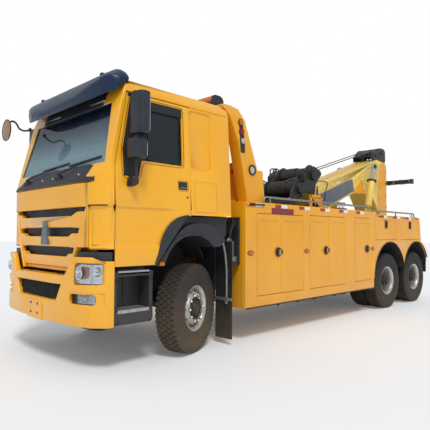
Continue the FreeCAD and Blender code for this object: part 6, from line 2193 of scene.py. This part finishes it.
def boom():
    """The girder with its plates, gussets and bolts."""
    softened("boom_girder", ("boom",), "main_boom", BOOM_ENAMEL, 0.014, 4, 28)
    bm = bmesh.new()
    prism(bm, rounded([(-7.322, 1.095), (-7.322, 3.215), (-7.262, 3.285), (-7.0, 3.29), (-6.905, 2.9), (-6.845, 2.56),
        (-6.845, 2.17), (-7.04, 1.095)], 0.03), "xz", 0.299, 0.308)
    prism(bm, rounded([(-6.06, 2.79), (-6.18, 2.47), (-5.61, 2.445)], 0.02), "xz", 0.299, 0.307)
    for height in (1.18, 1.36):
        spun(bm, ((0.299, 0.0), (0.322, 0.0), (0.322, 0.05), (0.314, 0.058), (0.299, 0.058)),
            (-7.2, 0, height + 0.05), "y", steps=28, closed=False)
    both(bm)
    prism(bm, ((-4.6, on_boom(-4.6, -0.004)), (-6.6, on_boom(-6.6, -0.004)), (-6.6, on_boom(-6.6, 0.01)),
        (-4.6, on_boom(-4.6, 0.01))), "xz", -0.06, 0.06)
    piece("boom_leg_plates", bm, "main_boom", PLATE_ENAMEL, bevel=0.004)
    bm = bmesh.new()
    for height in (1.6, 1.9, 2.2, 2.5, 2.8, 3.08):
        bolt(bm, (-7.27, 0.308, height), "y", 0.014)
    for place, height in ((-6.93, 2.66), (-6.9, 2.4), (-6.93, 2.05), (-6.98, 1.75)):
        bolt(bm, (place, 0.308, height), "y", 0.012)
    for place, height in ((-6.07, 2.7), (-6.14, 2.52), (-5.76, 2.475)):
        bolt(bm, (place, 0.307, height), "y", 0.01)
    spun(bm, ((0.355, 0.0), (0.372, 0.0), (0.372, 0.048), (0.364, 0.056), (0.355, 0.056)), (-4.25, 0, 2.17), "y",
        steps=28, closed=False)
    spun(bm, ((0.486, 0.0), (0.5, 0.0), (0.5, 0.052), (0.486, 0.058)), (-6.36, 0, 3.11), "y", steps=28, closed=False)
    both(bm)
    piece("boom_bolts_and_pins", bm, "main_boom", WINCH_GREY, bevel=0.0015)
    bm = bmesh.new()
    prism(bm, rounded([(-4.225, 2.135), (-4.2, 2.315), (-5.61, 2.772), (-5.69, 2.505), (-4.6, 2.11)], 0.02), "xz",
        0.3005, 0.3045)
    both(bm)
    piece("bare_boom_plates", bm, "main_boom", GREY_SHEET, bevel=0.001)
    bm = bmesh.new()
    for across in (-0.315, -0.338):
        pipe(bm, ((-4.45, across, 2.02), (-4.65, across, on_boom(-4.65, -0.4)), (-5.4, across, on_boom(-5.4, -0.385)),
            (-6.0, across, on_boom(-6.0, -0.3)), (-6.3, across * 1.1, 3.06)), 0.01, 3)
    pipe(bm, ((-4.42, 0.306, 2.2), (-4.5, 0.308, 2.44), (-4.56, 0.3, on_boom(-4.56, -0.01)),
        (-4.6, 0.2, on_boom(-4.6, 0.012)), (-4.66, -0.25, on_boom(-4.66, 0.012)),
        (-4.66, -0.305, on_boom(-4.66, -0.06))), 0.008, 3)
    piece("boom_hoses", bm, "main_boom", RUBBER)


boom()
print("boom made")

# %% Head and sheaves
# place and height of the sheaves at the end of the head and before it
END_SHEAVE = (-7.15, 3.555)
LEAD_SHEAVE = (-6.84, on_boom(-6.84, 0.1))
# the two ropes run this far to the left and to the right of the middle
ROPE_SPREAD = 0.12


def sheave(bm, centre, radius, low, high):
    """A grooved pulley between two cheeks."""
    middle, half = (low + high) / 2, (high - low) / 2
    spun(bm, ((middle - half, 0.0), (middle - half, radius * 0.5), (middle - 0.032, radius * 0.55),
        (middle - 0.03, radius), (middle - 0.016, radius), (middle - 0.011, radius - 0.018),
        (middle + 0.011, radius - 0.018), (middle + 0.016, radius), (middle + 0.03, radius),
        (middle + 0.032, radius * 0.55), (middle + half, radius * 0.5), (middle + half, 0.0)),
        (centre[0], 0, centre[1]), "y", steps=44, closed=False)


def boom_head():
    """Sliding tube, cheeks, sheaves and the ends of the ropes."""
    bm = cad_copy("boom_head")
    for vert in bm.verts:
        if vert.co.x > -6.5 and vert.co.z > on_boom(vert.co.x, 0.005):
            vert.co.x -= 0.34
            vert.co.z += 0.34 * BOOM_RISE
    piece("boom_head_welded", bm, "boom_extension", WINCH_GREY, replaces=("boom_head",), bevel=0.008, segments=3,
        angle=30, outward=False)
    bm = bmesh.new()
    for low, high in ((-0.228, -0.012), (0.012, 0.228)):
        sheave(bm, END_SHEAVE, 0.112, low, high)
        sheave(bm, LEAD_SHEAVE, 0.07, low, high)
    for across in (-0.262, 0.262):
        out = math.copysign(1, across)
        for place, height, size in ((*END_SHEAVE, 0.034), (*LEAD_SHEAVE, 0.026),
                (-6.98, on_boom(-6.98, 0.06), 0.016)):
            drum(bm, (place, across, height), "y", size * 1.3, 0.026, 24)
            bolt(bm, (place, across + out * 0.013, height), (0, out, 0), size * 0.5)
    for low, high in ((-0.262, -0.248), (0.248, 0.262)):
        prism(bm, rounded([(-6.7, 3.345), (-6.76, 3.52), (-6.96, 3.655), (-7.18, 3.683), (-7.368, 3.64),
            (-7.37, 3.345)], 0.06, 5), "xz", low, high)
    prism(bm, [(-6.79, 3.525), (-6.965, 3.648), (-7.02, 3.655), (-7.02, 3.643), (-6.97, 3.636), (-6.8, 3.513)], "xz",
        -0.25, 0.25)
    piece("head_sheaves", bm, "boom_extension", WINCH_GREY, bevel=0.002)
    bm = bmesh.new()
    for across in (ROPE_SPREAD, -ROPE_SPREAD):
        pipe(bm, ((-7.105, across, 3.66), (-7.16, across, 3.662), (-7.225, across, 3.632), (-7.258, across, 3.565),
            (-7.262, across, 3.5)), ROPE, 2)
        drum(bm, (-7.262, across, 3.462), "z", 0.022, 0.08, 16, 0.016)
    piece("head_rope_ends", bm, "boom_extension", WIRE_ROPE, angle=60)
    bm = bmesh.new()
    for across in (ROPE_SPREAD, -ROPE_SPREAD):
        spun(bm, [(0.01 * math.sin(math.tau * n / 8), 0.03 + 0.01 * math.cos(math.tau * n / 8)) for n in range(8)],
            (-7.262, across, 3.4), "x", steps=24)
    piece("head_rope_eyes", bm, "boom_extension", BRIGHT_METAL, angle=60)


boom_head()
print("boom head made")

# %% Ropes
# the ropes stand off a drum's middle by this where they leave it
WOUND_RADIUS = 0.172
# where the ropes leave the guide roller, cross the boom's middle and reach the sheaves: x and z
ROPE_LINE = ((-4.165, 2.785), (-5.6, 3.212), (-7.105, 3.66))


def winch_ropes():
    """Ropes from the drums to the guide roller, on over the boom, and out to the head."""
    bm = bmesh.new()
    for across, (name, place, height) in zip((ROPE_SPREAD, -ROPE_SPREAD), WINCHES):
        lean = Vector((ROPE_LINE[0][0] - place, ROPE_LINE[0][1] - height)).normalized()
        out = Vector((lean.y, -lean.x)) * WOUND_RADIUS
        pipe(bm, ((place + out.x, across, height + out.y), (ROPE_LINE[0][0], across, ROPE_LINE[0][1])), ROPE, 2,
            smooth=False)
    piece("drum_ropes", bm, "chassis", WIRE_ROPE, angle=60)
    for name, bodies, (x0, z0), (x1, z1) in (("boom_ropes", ("chassis", "main_boom"), *ROPE_LINE[:2]),
            ("head_ropes", ("main_boom", "boom_extension"), *ROPE_LINE[1:])):
        bm = bmesh.new()
        for across in (ROPE_SPREAD, -ROPE_SPREAD):
            pipe(bm, ((x0, across, z0), (x1, across, z1)), ROPE, 2, smooth=False)
        ropes = piece(name, bm, None, WIRE_ROPE, angle=60)
        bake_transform(ropes)


winch_ropes()
print("ropes made")

# %% Lift cylinders
def lift_cylinders():
    """Yellow barrels with black glands, and chromed rods with their eyes."""
    softened("lift_barrels_tube", ("lift_barrels",), "cylinder_barrels", BOOM_ENAMEL, 0.005, 3, 40)
    softened("lift_rods_chromed", ("lift_rods",), "cylinder_rods", CHROMED_ROD, 0.003, 3, 40)
    low, high = Vector((-6.01, 0, 2.05)), Vector((-6.36, 0, 3.11))
    along = (high - low).normalized()
    bm = bmesh.new()
    for across in (-0.45, 0.45):
        foot = Vector((low.x, across, low.z))
        spun(bm, ((0.745, 0.06), (0.745, 0.08), (0.765, 0.08), (0.772, 0.072), (0.772, 0.05)), foot, along, steps=36,
            start=along.orthogonal())
        out = Vector((-along.z, 0, along.x))
        drum(bm, foot + along * 0.2 + out * 0.086, out, 0.018, 0.03, 12)
        drum(bm, foot + along * 0.7 + out * 0.086, out, 0.018, 0.03, 12)
    piece("cylinder_glands", bm, "cylinder_barrels", RUBBER, bevel=0.002)


lift_cylinders()
print("lift cylinders made")

# %% [markdown]
# ## Underlift
# The folded arm stands behind the boom's leg, with a sliding bar inside it and a crossbar on
# top that carries the forks. Everything is heavy black steel with bolted wear plates.

# %% Arm, slide and crossbar
def underlift():
    """Arm, slide and crossbar with their plates and pins."""
    softened("underlift_arm_tube", ("underlift_arm",), "underlift", CHASSIS_BLACK, 0.01, 3, 30)
    softened("underlift_slide_bar", ("stinger",), "underlift_slide", CHASSIS_BLACK, 0.006, 3, 30)
    softened("underlift_crossbar_tube", ("crossbar",), "underlift_crossbar", CHASSIS_BLACK, 0.008, 3, 30)
    bm = bmesh.new()
    for low, high in ((2.5, 2.59), (1.9, 1.96), (1.3, 1.36)):
        box(bm, (-7.56, 0.109, low), (-7.37, 0.124, high))
        for place in (-7.54, -7.465, -7.39):
            bolt(bm, (place, 0.124, (low + high) / 2), "y", 0.011)
    spun(bm, ((0.176, 0.0), (0.2, 0.0), (0.2, 0.042), (0.192, 0.05), (0.176, 0.05)), (-7.465, 0, 1.13), "y", steps=28,
        closed=False)
    both(bm)
    for height in (1.55, 1.75, 2.15, 2.35):
        box(bm, (-7.357, -0.07, height - 0.03), (-7.35, 0.07, height + 0.03))
    piece("underlift_wear_plates", bm, "underlift", WINCH_GREY, bevel=0.003)
    bm = bmesh.new()
    for across in (0.15, 0.18):
        pipe(bm, ((-7.42, across, 1.3), (-7.46, across + 0.005, 1.6), (-7.48, across, 2.05),
            (-7.45, across - 0.01, 2.45)), 0.01, 3)
    piece("underlift_hoses", bm, "underlift", RUBBER)
    bm = bmesh.new()
    for across in (0.28, 0.62):
        box(bm, (-7.52, across - 0.03, 2.77), (-7.41, across + 0.03, 2.88))
    box(bm, (-7.522, 0.86, 2.768), (-7.408, 0.912, 2.882))
    both(bm)
    drum(bm, (-7.465, 0, 2.825), "x", 0.075, 0.104, 32)
    piece("crossbar_collars", bm, "underlift_crossbar", WINCH_GREY, bevel=0.004)
    bm = bmesh.new()
    for across in (0.45, 0.85):
        for place in (-7.519, -7.411):
            drum(bm, (place, across, 2.825), "x", 0.028, 0.006, 20)
    both(bm)
    piece("crossbar_pin_rings", bm, "underlift_crossbar", RAIL_ZINC)


underlift()
print("underlift made")

# %% [markdown]
# ## Chassis, axles and what hangs under the truck
# The frame, axles and engine keep their CAD shapes with softened edges. Between the rails run
# the propeller shaft and air lines, and air tanks hang beside them.

# %% Chassis and running gear
def chassis():
    """Rails, axles, engine, tanks, shafts and steering knuckles."""
    softened("chassis_rails", ("chassis_frame",), "chassis", CHASSIS_BLACK, 0.006, 3, 30)
    softened("axle_castings", ("axles_and_springs",), "chassis", HUB_IRON, 0.008, 3, 30)
    softened("engine_casting", ("engine",), "chassis", CAST_IRON, 0.02, 3, 30)
    for side in ("left", "right"):
        softened(f"steering_knuckle_casting_{side}", (f"knuckle_{side}",), f"steering_knuckle_{side}", HUB_IRON,
            0.006, 3, 30)
    bm = bmesh.new()
    for place, across, radius, length in ((-2.0, 0.56, 0.11, 0.85), (-3.2, 0.56, 0.11, 0.85),
            (-2.0, -0.56, 0.11, 0.85), (-3.2, -0.56, 0.13, 1.0)):
        drum(bm, (place, across, 0.72), "x", radius, length, 40)
        for shift in (-0.28, 0.28):
            spun(bm, ((-0.02, radius), (-0.02, radius + 0.006), (0.02, radius + 0.006), (0.02, radius)),
                (place + shift, across, 0.72), "x", steps=40)
            box(bm, (place + shift - 0.02, across * 0.78, 0.82), (place + shift + 0.02, across * 1.02, 0.86))
    piece("air_tanks", bm, "chassis", CHASSIS_BLACK, bevel=0.02, segments=4)
    bm = bmesh.new()
    pipe(bm, ((-1.25, 0, 0.86), (-3.1, 0, 0.8)), 0.055, 5, smooth=False)
    pipe(bm, ((-3.18, 0, 0.8), (-5.05, 0, 0.66)), 0.055, 5, smooth=False)
    drum(bm, (-3.14, 0, 0.8), "x", 0.085, 0.1, 28)
    box(bm, (-3.18, -0.345, 0.84), (-3.1, 0.345, 0.9))
    drum(bm, (-0.98, 0, 0.88), "x", 0.2, 0.55, 32, 0.11)
    box(bm, (-1.28, -0.14, 0.74), (-0.86, 0.14, 1.0))
    piece("propeller_shafts", bm, "chassis", HUB_IRON, bevel=0.008)
    bm = bmesh.new()
    for across, height in ((0.28, 0.99), (0.25, 0.965), (-0.28, 0.99), (-0.25, 0.965)):
        pipe(bm, ((-0.6, across, height), (-1.8, across + 0.01, height - 0.01), (-3.2, across - 0.01, height),
            (-4.8, across, height - 0.01), (-6.6, across, height)), 0.008, 2)
    pipe(bm, ((-0.78, -0.8, 1.05), (-0.8, -0.8, 1.3), (-0.79, -0.78, 1.62)), 0.045, 4)
    for shift in (0.0, 0.05, 0.1):
        pipe(bm, ((-0.74, 0.52 - shift, 1.4), (-0.8, 0.56 - shift, 1.62), (-0.88, 0.5 - shift, 1.5),
            (-0.9, 0.4 - shift, 1.2)), 0.01, 3)
    piece("air_lines", bm, "chassis", RUBBER)
    bm = bmesh.new()
    drum(bm, (-0.795, 1.03, 1.3), "z", 0.075, 0.2, 32)
    drum(bm, (-0.795, 1.03, 1.425), "z", 0.055, 0.05, 32, 0.035)
    box(bm, (-0.87, 0.935, 1.12), (-0.72, 1.13, 1.195))
    drum(bm, (-0.795, 0.9, 1.6), "z", 0.06, 0.22, 28)
    piece("air_dryer", bm, "chassis", RAIL_ZINC, bevel=0.008, segments=3)
    bm = bmesh.new()
    box(bm, (-0.882, 0.7, 1.08), (-0.7, 1.16, 1.12))
    box(bm, (-0.882, 0.7, 1.08), (-0.85, 1.16, 1.74))
    pipe(bm, ((-0.8, 1.03, 1.44), (-0.8, 1.05, 1.58), (-0.83, 1.08, 1.68), (-0.86, 1.02, 1.72)), 0.014, 3)
    pipe(bm, ((-0.76, 1.08, 1.22), (-0.72, 1.12, 1.36), (-0.75, 1.12, 1.55), (-0.84, 1.1, 1.66)), 0.01, 3)
    piece("air_dryer_bracket", bm, "chassis", CHASSIS_BLACK, bevel=0.004)


chassis()
print("chassis made")

# %% [markdown]
# ## Sizes, and the end
# The CAD model's box and the box of everything that is shown end the script, side by side.

# %% The sizes and the end
bpy.context.view_layer.update()


def plain(value):
    """Boxes and vectors as plain lists of numbers."""
    return float(value) if isinstance(value, (int, float)) else [plain(part) for part in value]


{"cad_box": plain(cad_box), "bounds": plain(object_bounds())}
